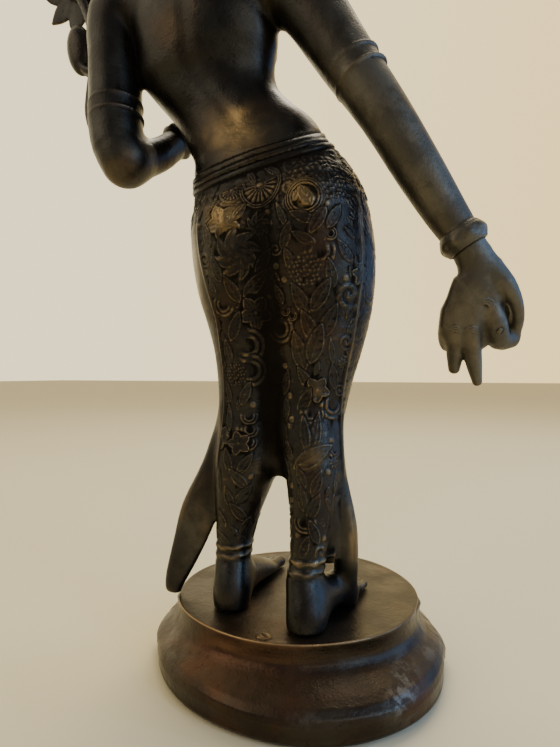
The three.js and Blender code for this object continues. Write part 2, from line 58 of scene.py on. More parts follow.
camera_data = bpy.data.cameras.new("camera")
camera_data.sensor_width = 36.0
camera_data.lens = FOCAL_PIXELS / PHOTO_HEIGHT * 36.0
camera_data.clip_start = 0.01
camera_data.clip_end = 20.0
camera = bpy.data.objects.new("camera", camera_data)
bpy.context.scene.collection.objects.link(camera)
camera.location = CAMERA_AT
camera.rotation_euler = Vector(LOOK).to_track_quat("-Z", "Y").to_euler()
bpy.context.scene.camera = camera

# ---------------------------------------------------------------- splines


def spline(rows, at):
    """Even spline through rows of numbers; at runs from 0 to 1."""
    rows = np.asarray(rows, float)
    last = len(rows) - 1
    scaled = np.clip(np.asarray(at, float), 0, 1) * last
    i = np.minimum(scaled.astype(int), last - 1)
    t = (scaled - i)[:, None]
    p0, p1 = rows[np.maximum(i - 1, 0)], rows[i]
    p2, p3 = rows[i + 1], rows[np.minimum(i + 2, last)]
    v0, v1 = (p2 - p0) / 2, (p3 - p1) / 2
    return (2 * p1 - 2 * p2 + v0 + v1) * t ** 3 + (-3 * p1 + 3 * p2 - 2 * v0 - v1) * t ** 2 + v0 * t + p1


def unit(v):
    v = np.asarray(v, float)
    return v / np.maximum(np.linalg.norm(v, axis=-1, keepdims=True), 1e-9)


# ---------------------------------------------------------------- distance fields


def oval_distance(q, length):
    """Distance from a point whose scaled radius is q and whose offset is length."""
    return length * (1 - 1 / np.maximum(q, 1e-4))


class Limb:
    """A bent, tapering oval bar: rows are x, y, z, half width and half depth."""

    def __init__(self, rows, across=(1, 0, 0), blend=3.0, per_row=3):
        full = [list(r) + [r[3]] * (5 - len(r)) for r in rows]
        count = per_row * (len(rows) - 1) + 1
        t = np.linspace(0, 1, count)
        data = spline(full, t)
        self.centre, self.wide_r, self.deep_r = data[:, :3], data[:, 3], data[:, 4]
        along = unit(np.gradient(self.centre, axis=0))
        self.deep = unit(np.cross(along, np.asarray(across, float)))
        self.wide = unit(np.cross(self.deep, along))
        self.blend = blend
        reach = np.maximum(self.wide_r, self.deep_r).max() + blend + 2.5
        self.low, self.high = self.centre.min(0) - reach, self.centre.max(0) + reach

    def distance(self, p):
        best = np.full(len(p), 1e9, np.float32)
        s = np.zeros(len(p), np.float32)
        for i in range(len(self.centre) - 1):
            a = self.centre[i].astype(np.float32)
            seg = (self.centre[i + 1] - self.centre[i]).astype(np.float32)
            off = p - a
            t = np.clip(off @ seg / (seg @ seg), 0, 1)
            off = off - t[:, None] * seg
            near = np.einsum("ij,ij->i", off, off)
            pick = near < best
            best[pick] = near[pick]
            s[pick] = (i + t)[pick]
        i = np.minimum(s.astype(int), len(self.centre) - 2)
        t = (s - i)[:, None].astype(np.float32)

        def at(values):
            values = values.astype(np.float32)
            if values.ndim == 1:
                values = values[:, None]
            return values[i] * (1 - t) + values[i + 1] * t

        off = p - at(self.centre)
        a, b = at(self.wide_r)[:, 0], at(self.deep_r)[:, 0]
        u = np.einsum("ij,ij->i", off, at(self.wide))
        v = np.einsum("ij,ij->i", off, at(self.deep))
        length2 = np.einsum("ij,ij->i", off, off)
        rest = np.maximum(length2 - u * u - v * v, 0)
        q = np.sqrt((u / a) ** 2 + (v / b) ** 2 + rest / np.minimum(a, b) ** 2)
        return oval_distance(q, np.sqrt(length2))


class Ball:
    def __init__(self, at, radii, turn=(0, 0, 0), blend=3.0):
        self.at, self.radii, self.blend = np.asarray(at, float), np.asarray(radii, float), blend
        self.turn = turned(turn)
        reach = self.radii.max() + blend + 2.5
        self.low, self.high = self.at - reach, self.at + reach

    def distance(self, p):
        local = (p - self.at.astype(np.float32)) @ self.turn.astype(np.float32)
        q = np.sqrt(((local / self.radii.astype(np.float32)) ** 2).sum(1))
        return oval_distance(q, np.sqrt((local ** 2).sum(1)))


class Stack:
    """Level oval sections: rows are z, centre x, centre y, half width, half depth."""

    def __init__(self, rows, blend=3.0):
        self.rows = spline(rows, np.linspace(0, 1, 6 * (len(rows) - 1) + 1))
        self.blend = blend
        reach = blend + 2.5
        z, cx, cy, a, b = self.rows.T
        self.low = np.array([(cx - a).min(), (cy - b).min(), z.min()]) - reach
        self.high = np.array([(cx + a).max(), (cy + b).max(), z.max()]) + reach

    def section(self, z):
        return [np.interp(z, self.rows[:, 0], self.rows[:, i]) for i in (1, 2, 3, 4)]

    def distance(self, p):
        cx, cy, a, b = self.section(p[:, 2])
        u, v = p[:, 0] - cx, p[:, 1] - cy
        d = oval_distance(np.sqrt((u / a) ** 2 + (v / b) ** 2), np.sqrt(u * u + v * v))
        return np.maximum(d, np.maximum(p[:, 2] - self.rows[-1, 0], self.rows[0, 0] - p[:, 2]))


class Ring:
    """A ring round a limb; beads is the number of pearls it is made of."""

    def __init__(self, at, along, radius, bar, beads=0, blend=0.4, oval=1.0):
        self.at, self.along, self.radius, self.bar = np.asarray(at, float), unit(along), radius, bar
        self.beads, self.blend = beads, blend
        self.side = unit(np.cross(self.along, [0.0, 0.31, 0.95]))
        self.other = np.cross(self.along, self.side)
        reach = radius + bar + blend + 2.5
        self.low, self.high = self.at - reach, self.at + reach

    def distance(self, p):
        off = p - self.at.astype(np.float32)
        h, u, v = off @ self.along, off @ self.side, off @ self.other
        rho = np.sqrt(u * u + v * v)
        if not self.beads:
            return np.sqrt((rho - self.radius) ** 2 + h * h) - self.bar
        pitch = 2 * math.pi / self.beads
        angle = np.arctan2(v, u)
        swing = (angle - np.round(angle / pitch) * pitch) * self.radius
        return np.sqrt((rho - self.radius) ** 2 + h * h + swing * swing) - self.bar


def turned(degrees):
    """Rotation matrix that turns about x, then y, then z of the moving axes."""
    x, y, z = [math.radians(d) for d in degrees]
    return np.array(Matrix.Rotation(x, 3, "X") @ Matrix.Rotation(y, 3, "Y") @ Matrix.Rotation(z, 3, "Z"))


class Field:
    def __init__(self, low, high, step):
        self.low, self.step = np.asarray(low, float), step
        self.count = np.ceil((np.asarray(high, float) - self.low) / step).astype(int) + 1
        self.d = np.full(self.count, 30.0, np.float32)

    def region(self, low, high):
        a = np.clip(np.floor((low - self.low) / self.step).astype(int), 0, self.count)
        b = np.clip(np.ceil((high - self.low) / self.step).astype(int) + 1, 0, self.count)
        return a, b

    def points(self, a, b):
        axes = [(self.low[i] + self.step * np.arange(a[i], b[i])).astype(np.float32) for i in range(3)]
        return np.stack(np.meshgrid(*axes, indexing="ij"), -1).reshape(-1, 3)

    def add(self, shape, cut=False):
        a, b = self.region(shape.low, shape.high)
        if (b <= a).any():
            return
        part = self.d[a[0]:b[0], a[1]:b[1], a[2]:b[2]]
        other = shape.distance(self.points(a, b)).reshape(part.shape).astype(np.float32)
        k = max(shape.blend, 1e-3)
        if cut:
            h = np.maximum(k - np.abs(part + other), 0) / k
            part[...] = np.maximum(part, -other) + h * h * k / 4
        else:
            h = np.maximum(k - np.abs(part - other), 0) / k
            part[...] = np.minimum(part, other) - h * h * k / 4

    def clip(self, distance):
        """Keep only the side of a surface where distance is negative."""
        a, b = np.zeros(3, int), self.count
        slab = 64
        for start in range(0, b[0], slab):
            lo, hi = np.array([start, 0, 0]), np.array([min(start + slab, b[0]), b[1], b[2]])
            part = self.d[lo[0]:hi[0]]
            part[...] = np.maximum(part, distance(self.points(lo, hi)).reshape(part.shape))

    def value(self, p):
        g = (p - self.low) / self.step
        i = np.clip(np.floor(g).astype(int), 0, self.count - 2)
        f = (g - i).astype(np.float32)
        total = np.zeros(len(p), np.float32)
        for dx in (0, 1):
            for dy in (0, 1):
                for dz in (0, 1):
                    w = (f[:, 0] if dx else 1 - f[:, 0]) * (f[:, 1] if dy else 1 - f[:, 1]) \
                        * (f[:, 2] if dz else 1 - f[:, 2])
                    total += w * self.d[i[:, 0] + dx, i[:, 1] + dy, i[:, 2] + dz]
        return total

    def slope(self, p):
        e = self.step * 0.75
        out = np.empty_like(p)
        for axis in range(3):
            shift = np.zeros(3)
            shift[axis] = e
            out[:, axis] = self.value(p + shift) - self.value(p - shift)
        return out / (2 * e)

    def skin(self):
        """Closed quad mesh of the zero surface."""
        inside = self.d < 0
        n = self.count - 1
        corners = [(x, y, z) for x in (0, 1) for y in (0, 1) for z in (0, 1)]
        any_in = np.zeros(n, bool)
        all_in = np.ones(n, bool)
        for x, y, z in corners:
            part = inside[x:n[0] + x, y:n[1] + y, z:n[2] + z]
            any_in |= part
            all_in &= part
        active = any_in & ~all_in
        cells = np.argwhere(active)
        number = np.full(n, -1, np.int32)
        number[active] = np.arange(len(cells))
        total = np.zeros((len(cells), 3), np.float32)
        hits = np.zeros(len(cells), np.float32)
        for a in corners:
            for axis in range(3):
                if a[axis]:
                    continue
                b = list(a)
                b[axis] = 1
                da = self.d[cells[:, 0] + a[0], cells[:, 1] + a[1], cells[:, 2] + a[2]]
                db = self.d[cells[:, 0] + b[0], cells[:, 1] + b[1], cells[:, 2] + b[2]]
                cross = (da < 0) != (db < 0)
                t = np.where(cross, da / np.where(cross, da - db, 1), 0)
                place = np.tile(np.array(a, np.float32), (len(cells), 1))
                place[:, axis] = t
                total[cross] += place[cross]
                hits[cross] += 1
        verts = self.low + self.step * (cells + total / hits[:, None])
        quads = []
        for axis in range(3):
            o1, o2 = [i for i in range(3) if i != axis]
            lo = [slice(None)] * 3
            hi = [slice(None)] * 3
            lo[axis], hi[axis] = slice(0, -1), slice(1, None)
            change = inside[tuple(lo)] != inside[tuple(hi)]
            at = np.argwhere(change)
            keep = (at[:, o1] > 0) & (at[:, o2] > 0) & (at[:, o1] < n[o1]) & (at[:, o2] < n[o2])
            at = at[keep]
            first = inside[at[:, 0], at[:, 1], at[:, 2]]
            ring = []
            for d1, d2 in ((-1, -1), (0, -1), (0, 0), (-1, 0)):
                c = at.copy()
                c[:, o1] += d1
                c[:, o2] += d2
                ring.append(number[c[:, 0], c[:, 1], c[:, 2]])
            ring = np.stack(ring, 1)
            flip = first if axis != 1 else ~first
            ring[~flip] = ring[~flip][:, ::-1]
            quads.append(ring)
        quads = np.concatenate(quads)
        verts = verts.astype(np.float32)
        for _ in range(2):
            slope = self.slope(verts)
            size = np.maximum((slope ** 2).sum(1), 0.2)
            move = -(self.value(verts) / size)[:, None] * slope
            verts = verts + np.clip(move, -0.5 * self.step, 0.5 * self.step)
        return verts, quads


# ---------------------------------------------------------------- the figure, in mm, plumb line at 0, 0

TRUNK = [
    [136, 3.9, 13, 26, 12], [150, 3.5, 12, 32, 16.5], [165, 4, 11, 38, 20.5], [184, 5.5, 11, 43.4, 24.5],
    [196, 6.5, 11, 45.1, 26], [208, 7.7, 11, 44.6, 26.5], [218, 8.4, 10.5, 43, 26.3], [228, 11.1, 9.5, 41.6, 25.3],
    [236, 14.3, 9, 38.6, 24], [244, 18.2, 8, 35.5, 22], [252, 22.2, 7.5, 35.6, 20.2], [260, 27, 7, 34.8, 18.8],
    [268, 34, 7, 32.8, 18], [276, 41, 7.5, 32.6, 18.2], [284, 45.8, 8, 34.7, 19], [292, 48.4, 9, 37.8, 20.5],
    [300, 47.6, 10, 38.8, 21.5], [310, 48.2, 11, 39.4, 22], [322, 49.8, 12, 40, 21], [334, 51, 12.5, 38, 18.5],
    [343, 52, 12.5, 30, 15.5], [350, 52, 12, 17, 12.5],
]
SHOULDERS = [[-2, 12, 322, 14], [22, 12, 335, 13.5], [52, 12, 341, 14], [78, 12, 338.5, 13.5], [98, 12, 333, 14]]
RIGHT_LEG = [
    [-9, 13, 229, 16, 16], [-11, 15.5, 214, 23, 23.5], [-11.8, 14.8, 198, 25, 24.5], [-13.2, 12.4, 182, 25.8, 24],
    [-13.4, 11, 166, 24.4, 23], [-12.8, 12, 151, 21.5], [-11.5, 13.5, 135, 18.3], [-10.8, 16, 119, 16],
    [-12.2, 19.5, 104, 14.4], [-14.4, 22.5, 91, 12.4], [-15, 25.5, 77, 10.2], [-14.8, 28.5, 65, 8.4],
    [-14.6, 31, 55, 7.6], [-14, 33.5, 46, 6.9], [-14.8, 35, 39, 6.8],
]
LEFT_LEG = [
    [25, 14, 224, 16, 16], [26, 15.5, 210, 22, 23.5], [24.5, 15, 196, 24, 24.5], [23, 12.4, 180, 24.8, 24],
    [21, 11, 165, 22.8, 22.6], [19, 12, 151, 20.8], [19, 13, 135, 18.2], [19.6, 14.5, 119, 16.3],
    [19.9, 17, 104, 15.6], [20.8, 19.5, 91, 14.8], [22.8, 21.5, 77, 12], [23.8, 23.5, 65, 9.4],
    [24, 25, 55, 8.2], [23.8, 26.5, 46, 7.6], [22.6, 29, 39, 7.4],
]
WEB = [[89, 0.6, 18, 7, 5], [97, 1.5, 17, 12, 8], [110, 3, 15, 15, 10], [125, 3, 13, 18, 12], [150, 3, 12, 22, 15],
       [164, 3, 11, 20, 14], [176, 3, 11, 12, 9]]
TAILS = [
    [[31, 16, 122, 3, 4], [34.8, 18, 105, 4.8, 4.6], [37.6, 20.5, 90, 6.8, 4.4], [43.6, 24, 70, 9.9, 3.6],
     [48.3, 26.5, 54, 8.5, 3], [53.6, 29, 38, 5.8, 3], [54.6, 30, 32, 4.4, 2.6]],
    [[-20, 16, 122, 3, 4], [-21.5, 17.5, 104, 4.6, 4.6], [-23, 18, 88, 6, 5], [-26, 18, 69, 7.2, 4.6],
     [-27.6, 16.5, 55, 6, 4.4], [-27.4, 13.5, 42, 5, 4.6], [-26, 10.5, 33, 5.6, 5.4]],
]
ANKLE_CLOTH = [[-19, 24, 80, 5, 4], [-20.5, 23, 67, 5.5, 3.6], [-21.4, 22, 55, 4.4, 3]]
RIGHT_ARM = [
    [7, 12, 332, 14], [-1.4, 11.5, 321.6, 16.4], [-12.3, 12, 305.4, 14.8], [-26.8, 13, 280.6, 13.2],
    [-44.3, 14, 252.4, 11.4], [-58.6, 12, 226.7, 10.5], [-69.8, 9, 207, 9.2], [-78, 8, 193.5, 7.8],
    [-82.5, 6.8, 185, 7.2, 6],
]
LEFT_ARM = [
    [93, 12, 342, 12.5], [102.4, 12, 335, 14.6], [103.8, 13, 324, 15], [101.2, 16, 307, 14.1],
    [98.6, 19, 285, 13.9], [97.3, 20.5, 270, 14.1], [94.4, 21.5, 257, 13.7], [90.8, 20, 248.3, 12.8],
]
LEFT_FOREARM = [
    [89.8, 20, 248.5, 11.8], [86.5, 9, 253.5, 10], [82.5, -1, 260, 8.8], [77.8, -16, 274, 7.2], [73, -26, 283, 7, 5.6],
]
RIGHT_PALM = [
    [-82.3, 6.8, 186, 7.2, 5.8], [-84.4, 5.8, 179, 10.4, 6], [-82.8, 4.5, 171, 11.8, 6], [-80.6, 3, 163, 12, 5.4],
    [-80.2, 1.4, 155, 10.8, 4.0], [-79.4, 0.2, 149.5, 8.2, 3.0],
]
LEFT_PALM = [[74, -24, 281, 6.6, 5.6], [69, -31, 289, 9.6, 5.8], [64.5, -34.5, 298, 9.4, 5.2]]
RIGHT_FINGERS = [
    [[-71.7, 3.4, 163, 3.7], [-69.9, 1.4, 154.5, 3.5], [-70, -6, 149.5, 3.1], [-72, -9.5, 152, 2.6]],
    [[-75.8, 4.4, 165, 3.9], [-74, 3.2, 155, 3.9], [-73.6, -1.2, 145.4, 3.7], [-73.1, -3.5, 138.6, 2.6]],
    [[-82, 4.4, 166, 4], [-80.5, 3.2, 155, 4.1], [-81.4, -0.6, 142.6, 3.7], [-82.9, -2.4, 132.8, 2.2]],
    [[-88.4, 1.5, 167, 4.7], [-90.4, 0.5, 158, 5.1], [-91.8, -4.5, 151.8, 5], [-96.6, -11, 151.8, 4.1]],
    [[-89, 5.5, 181, 4.8], [-94.2, 3.5, 174.5, 4.5], [-98.4, 0, 167, 3.2], [-99.4, -6, 160, 2.9],
     [-97.8, -11.5, 154.5, 3.2]],
    [[-95.4, -8, 166, 2.4], [-96, -10.4, 156, 3.2]],
]
LEFT_FINGERS = [
    [[60.5, -37.5, 303, 3.3], [57, -43, 309, 3], [57.5, -44, 317, 2.6], [59, -42, 323, 2.1]],
    [[65, -38, 304, 3.4], [63, -44, 310, 3.1], [64, -44.5, 319, 2.8], [65, -42.5, 326, 2.2]],
    [[69.5, -37, 303.5, 3.4], [69.5, -42.5, 309, 3.1], [70.5, -43, 318, 2.7], [71, -41, 324, 2.2]],
    [[73.5, -35, 301, 3.4], [77, -40, 305, 3.2], [76.5, -45, 300, 2.8], [72, -47, 296, 2.4]],
    [[71, -29, 285, 4], [75, -36, 288, 3.6], [74.5, -43, 291.5, 3.2], [71.5, -47, 294, 2.6]],
]
STEM = [
    [72, -46, 294, 2.2], [80, -38, 280, 2.3], [92, -20, 268, 2.4], [105, -6, 263, 2.6], [114, 4, 264.5, 2.7],
    [119.5, 9, 271, 2.8], [124, 10, 284, 2.8], [123.6, 9.5, 298, 2.8], [122.6, 8, 313, 3], [126, 5, 332, 3],
    [134, 0, 350, 3.2], [143, -3, 366, 3.6],
]
BELT = {"x": 55.0, "y": 8.0, "z": 232.7, "fall_x": -0.186, "fall_y": -0.36, "cords": 3, "pitch": 3.1}
FLOWER_AT, FLOWER_RADIUS = np.array([146.0, -5.0, 376.0]), 29.0
HEAD_AT = np.array([45.0, 3.0, 389.0])
HEAD_TURN = turned((4, -9, 0))
NECK_CUT = 356.0


def foot(heel, toes, lean):
    """A bare foot with its toes, as field shapes."""
    heel, toes = np.array(heel, float), np.array(toes, float)

    def at(t, x, z, a, b):
        x0, y0 = heel + (toes - heel) * t
        return [x0 + x, y0, z, a, b]

    shapes = [Limb([at(0.13, 0, 34.5, 7.2, 7.6), at(0.32, 0, 38.5, 7.6, 9.4), at(0.52, lean * 0.6, 37, 8.8, 7.6),
                    at(0.72, lean, 34.6, 10.4, 5.4), at(0.86, lean, 33, 10, 3.8)], blend=5)]
    inside = math.copysign(1, heel[0])
    for toe in range(5):
        size = 3.0 if toe == 0 else 2.5 - toe * 0.12
        reach = (0.6, 0, 1, 2.4, 4.4)[toe]
        x = toes[0] + lean - inside * (8 - toe * 4.1)
        y = toes[1] + reach + 2
        z = FOOT_LEVEL + size * 0.85
        shapes.append(Limb([[x, y + 6, z + 1.4, size * 0.9], [x, y, z + 0.5, size * 0.92], [x, y - 4.4, z, size]],
                           blend=1.2))
    return shapes


def belt_rise(p):
    """Height above the sloping middle line of the belt."""
    return p[:, 2] - (BELT["z"] + BELT["fall_x"] * (p[:, 0] - BELT["x"]) + BELT["fall_y"] * (p[:, 1] - BELT["y"]))


def lower_shapes():
    shapes = [Stack(TRUNK)]
    shapes.append(Limb(RIGHT_LEG, blend=6))
    shapes.append(Limb(LEFT_LEG, blend=6))
    shapes.append(Stack(WEB, blend=5))
    shapes += [Limb(rows, blend=3.5) for rows in TAILS + [ANKLE_CLOTH]]
    shapes += [Limb([[23.6, 27, 46, 8], [22.4, 30.6, 40, 8], [21.6, 33, 29, 7.6]], blend=3),
               Limb([[-14.2, 33.8, 46, 7.6], [-15.4, 37, 40, 7.6], [-16.6, 41, 29, 7.4]], blend=3)]
    shapes += foot([-17.6, 46], [-21, -12], -0.5) + foot([21.6, 37.5], [27, -20], 0.5)
    return shapes


def petal_rows(turn, length, half, start, cup):
    """Rows of a lotus petal that leaves the flower's middle at an angle, cupped towards the front."""
    out = np.array([math.cos(math.radians(turn)), 0, math.sin(math.radians(turn))])
    rows = []
    for along, width, thick in ((0, 0.35, 1.6), (0.3, 0.85, 1.3), (0.6, 1, 1.1), (0.85, 0.62, 1.0), (1, 0.14, 0.9)):
        at = FLOWER_AT + out * (start + (length - start) * along) + np.array([0, -cup * math.sin(along * 2.6), 0])
        rows.append([*at, half * width, thick])
    return rows, np.cross(out, [0, 1, 0])


def lotus_shapes():
    shapes = [Limb(STEM, blend=1.2)]
    shapes.append(Ball([137.5, 3, 328], [8.6, 5.6, 15.6], (0, 12, 0), blend=1))
    for turn in (-30, 0, 30):
        side = math.sin(math.radians(turn))
        shapes.append(Limb([[131 + side * 2, 1, 313, 2, 1.4], [135 + side * 7, -2 + abs(side) * 2, 324, 4.6, 1.6],
                            [139 + side * 6, -1.5 + abs(side) * 2, 336, 3.4, 1.2], [141.5, 2, 344, 1, 0.8]], blend=0.6))
    shapes.append(Limb([[121, 6, 311, 2.4], [129, 5, 313, 2.6], [135, 4, 317, 3]], blend=1))
    for ring, (count, length, half, cup, offset) in enumerate(((9, 29, 7.6, 2.5, 0), (8, 23, 6.4, 6.5, 20))):
        for i in range(count):
            rows, across = petal_rows(offset + i * 360 / count, length, half, 5, cup)
            shapes.append(Limb(rows, across=across, blend=0.5, per_row=2))
    shapes.append(Ball(FLOWER_AT + [0, 1.5, 0], [10, 6, 10], blend=1.5))
    shapes.append(Ball(FLOWER_AT + [0, -6, 0], [6.4, 4.4, 6.4], blend=0.6))
    for i in range(7):
        angle = i * 2 * math.pi / 6
        reach = 0 if i == 6 else 3.6
        shapes.append(Ball(FLOWER_AT + [reach * math.cos(angle), -10, reach * math.sin(angle)], [1.3, 1.2, 1.3], blend=0.2))
    return shapes


ARMBANDS = [((-32.4, 13.2, 272.7), (-5.6, 0.4, -9.4), 12.5), ((97.2, 19.9, 274.7), (-1.2, 1, -8.6), 13.7)]


def upper_shapes():
    shapes = [Stack(TRUNK), Limb(SHOULDERS, across=(0, 1, 0), blend=8)]
    shapes += [Ball([x, -9.5, 310], [14.5, 15.5, 14.5], blend=5) for x in (32, 65)]
    shapes += [Ball([x, -25, 309.5], [2, 2.2, 2], blend=1) for x in (31.4, 65.6)]
    shapes.append(Limb(RIGHT_LEG, blend=6))
    shapes.append(Limb(LEFT_LEG, blend=6))
    shapes.append(Limb([[52, 12, 340, 15], [51, 12, 346, 12.6], [49.5, 9.5, 357, 11.4], [48, 7, 370, 11.6]], blend=7))
    shapes.append(Limb(RIGHT_ARM, blend=5))
    shapes.append(Limb(LEFT_ARM, blend=4))
    shapes.append(Limb(LEFT_FOREARM, blend=5))
    for at, along, radius in ARMBANDS:
        shapes += [Ring(np.array(at) + unit(along) * side, along, radius, 0.8, blend=0.8) for side in (-3.8, 3.8)]
    return shapes


def hand_shapes(palm, fingers, across, extra):
    shapes = [Limb(palm, across=across, blend=4)]
    shapes += [Limb(rows, blend=5.0 if i == 0 else 2.2) for i, rows in enumerate(fingers)]
    return shapes + extra


RIGHT_WRIST = {"at": [-77.6, 8, 194.2], "along": [-0.52, -0.1, -0.85]}
LEFT_WRIST = {"at": [79.4, -12, 270.4], "along": [-0.22, -0.73, 0.64]}


def bracelet(at, along, radius, beads):
    """A thick cuff with smoothed lobes between two low rims."""
    along = unit(along)
    at = np.asarray(at, float)
    shapes = [Ring(at + along * side, along, radius - 0.4, 2.6, blend=1.2) for side in (-1.4, 1.4)]
    shapes.append(Ring(at, along, radius + 0.3, 2.7, beads=beads, blend=0.9))
    shapes += [Ring(at + along * side, along, radius + 0.4, 0.8, blend=0.6) for side in (-3.7, 3.7)]
    return shapes


# ---------------------------------------------------------------- meshes

BELT_SEAM = -0.5 * BELT["pitch"]    # the two meshes of the figure meet in a groove between the belt's cords


def as_mesh(name, verts, faces, extra=None):
    """A Blender mesh in metres in the object's frame; extra holds one number per vertex."""
    mesh = bpy.data.meshes.new(name)
    mesh.vertices.add(len(verts))
    mesh.vertices.foreach_set("co", ((verts + STAND) * 0.001).astype(np.float32).ravel())
    faces = np.asarray(faces)
    size = faces.shape[1]
    mesh.loops.add(faces.size)
    mesh.polygons.add(len(faces))
    mesh.loops.foreach_set("vertex_index", faces.ravel().astype(np.int32))
    mesh.polygons.foreach_set("loop_start", (np.arange(len(faces)) * size).astype(np.int32))
    mesh.polygons.foreach_set("use_smooth", np.ones(len(faces), bool))
    mesh.update(calc_edges=True)
    for key, values in (extra or {}).items():
        layer = mesh.attributes.new(key, "FLOAT", "POINT")
        layer.data.foreach_set("value", np.asarray(values, np.float32))
    piece = bpy.data.objects.new(name, mesh)
    bpy.context.scene.collection.objects.link(piece)
    return piece


def read_mesh(piece):
    mesh = piece.data
    verts = np.empty(len(mesh.vertices) * 3, np.float32)
    mesh.vertices.foreach_get("co", verts)
    normals = np.empty(len(mesh.vertices) * 3, np.float32)
    mesh.vertices.foreach_get("normal", normals)
    return verts.reshape(-1, 3) / 0.001 - STAND, normals.reshape(-1, 3)


def apply_modifiers(piece):
    deps = bpy.context.evaluated_depsgraph_get()
    mesh = bpy.data.meshes.new_from_object(piece.evaluated_get(deps), preserve_all_data_layers=True, depsgraph=deps)
    piece.modifiers.clear()
    old, piece.data = piece.data, mesh
    bpy.data.meshes.remove(old)


def volume(verts, quads):
    a, b, c, d = (verts[quads[:, i]] for i in range(4))
    return (np.einsum("ij,ij->i", a, np.cross(b, c)) + np.einsum("ij,ij->i", a, np.cross(c, d))).sum() / 6


def carve(shapes, low, high, step, clips=(), cuts=()):
    field = Field(low, high, step)
    for shape in shapes:
        field.add(shape)
    for shape in cuts:
        field.add(shape, cut=True)
    for distance in clips:
        field.clip(distance)
    verts, quads = field.skin()
    if volume(verts.astype(np.float64), quads) < 0:
        quads = quads[:, ::-1]
    return verts, quads


def merged(parts):
    verts, quads, start = [], [], 0
    for v, q in parts:
        verts.append(v)
        quads.append(q + start)
        start += len(v)
    return np.concatenate(verts), np.concatenate(quads)


def above_belt(p):
    """Cuts the trunk at the belt, but not the arm that hangs beside it."""
    arm = p[:, 0] < -28 - np.maximum(240 - p[:, 2], 0) * 0.44
    return np.where(arm, -99, BELT_SEAM - 0.2 - belt_rise(p)).astype(np.float32)


def below_belt(p):
    return belt_rise(p) - BELT_SEAM - 0.2


def above_sole(p):
    return FOOT_LEVEL - p[:, 2]


def below_neck(p):
    return p[:, 2] - NECK_CUT


def beyond(at, along):
    """Keeps what lies past a plane, along its normal."""
    at, along = np.asarray(at, float), unit(along)
    return lambda p: -((p - at) @ along)


skirt_shell = carve(lower_shapes(), (-66, -42, 26), (66, 50, 262), STEP, [below_belt, above_sole])
right_keep = beyond(np.array(RIGHT_WRIST["at"]) - 2 * unit(RIGHT_WRIST["along"]), RIGHT_WRIST["along"])
left_keep = beyond(np.array(LEFT_WRIST["at"]) - 2 * unit(LEFT_WRIST["along"]), LEFT_WRIST["along"])


def wrists(p):
    """Ends both arms inside their bracelets."""
    right = np.where(p[:, 0] < -50, -right_keep(p) - 3.0, -99)
    along = unit(LEFT_WRIST["along"])
    off = p - np.array(LEFT_WRIST["at"])
    ahead = off @ along
    aside = np.linalg.norm(off - ahead[:, None] * along, axis=1)
    left = np.where((aside < 12) & (ahead > -20) & (ahead < 30), ahead - 1.0, -99)
    return np.maximum(right, left).astype(np.float32)


body = carve(upper_shapes(), (-100, -40, 180), (126, 46, 362), STEP, [above_belt, below_neck, wrists])
right_hand = carve(hand_shapes(RIGHT_PALM, RIGHT_FINGERS, (-0.93, -0.3, 0.2), [Limb(RIGHT_ARM[-3:], blend=3)]
                               + bracelet(RIGHT_WRIST["at"], RIGHT_WRIST["along"], 8.0, 9)),
                   (-112, -24, 124), (-58, 26, 208), FINE_STEP,
                   [lambda p: right_keep(p) - 4.0])
left_hand = carve(hand_shapes(LEFT_PALM, LEFT_FINGERS, (0.9, 0.1, 0.4), [Limb(LEFT_FOREARM[-3:], blend=3)]
                              + bracelet(LEFT_WRIST["at"], LEFT_WRIST["along"], 7.4, 9)),
                  (46, -60, 254), (98, 6, 334), FINE_STEP,
                  [lambda p: left_keep(p) - 4.0])
lotus = carve(lotus_shapes(), (64, -58, 254), (184, 22, 412), FINE_STEP * 1.2)
print("quads", len(skirt_shell[1]), len(body[1]), len(right_hand[1]), len(left_hand[1]), len(lotus[1]))


def lift(piece, height, budget):
    """Moves a mesh along its normals by the relief's height, then thins it to a budget of triangles."""
    verts, normals = read_mesh(piece)
    piece.data.vertices.foreach_set("co", ((verts + normals * height[:, None] + STAND) * 0.001)
                                    .astype(np.float32).ravel())
    piece.data.update()
    triangles = len(piece.data.loops) - 2 * len(piece.data.polygons)
    if triangles > budget:
        thin = piece.modifiers.new("thin", "DECIMATE")
        thin.ratio = budget / triangles
        apply_modifiers(piece)
        piece.data.polygons.foreach_set("use_smooth", np.ones(len(piece.data.polygons), bool))


def bulge(piece, rounds):
    """How far each vertex stands out of its surroundings, mm: positive on ridges, negative in hollows."""
    verts, normals = read_mesh(piece)
    edges = np.empty(len(piece.data.edges) * 2, np.int32)
    piece.data.edges.foreach_get("vertices", edges)
    a, b = edges[0::2], edges[1::2]
    count = np.bincount(a, minlength=len(verts)) + np.bincount(b, minlength=len(verts)) + 1e-6
    flat = verts.astype(float)
    for _ in range(rounds):
        total = np.stack([np.bincount(a, flat[b, k], len(verts)) + np.bincount(b, flat[a, k], len(verts))
                          for k in range(3)], 1)
        flat = flat * 0.3 + 0.7 * total / count[:, None]
    return np.einsum("ij,ij->i", verts - flat, normals)


def patches(verts, normals, spots):
    """Soft patches: spots of a place in the picture, a width and a height there, and a strength."""
    x, y, _ = picture(verts)
    seen = soft_step(np.einsum("ij,ij->i", normals, unit(CAMERA_MM - verts)), 0.25)
    total = np.zeros(len(verts))
    for at_x, at_y, wide, high, strength in spots:
        total += strength * seen * np.exp(-((x - at_x) / wide) ** 2 - ((y - at_y) / high) ** 2)
    return total


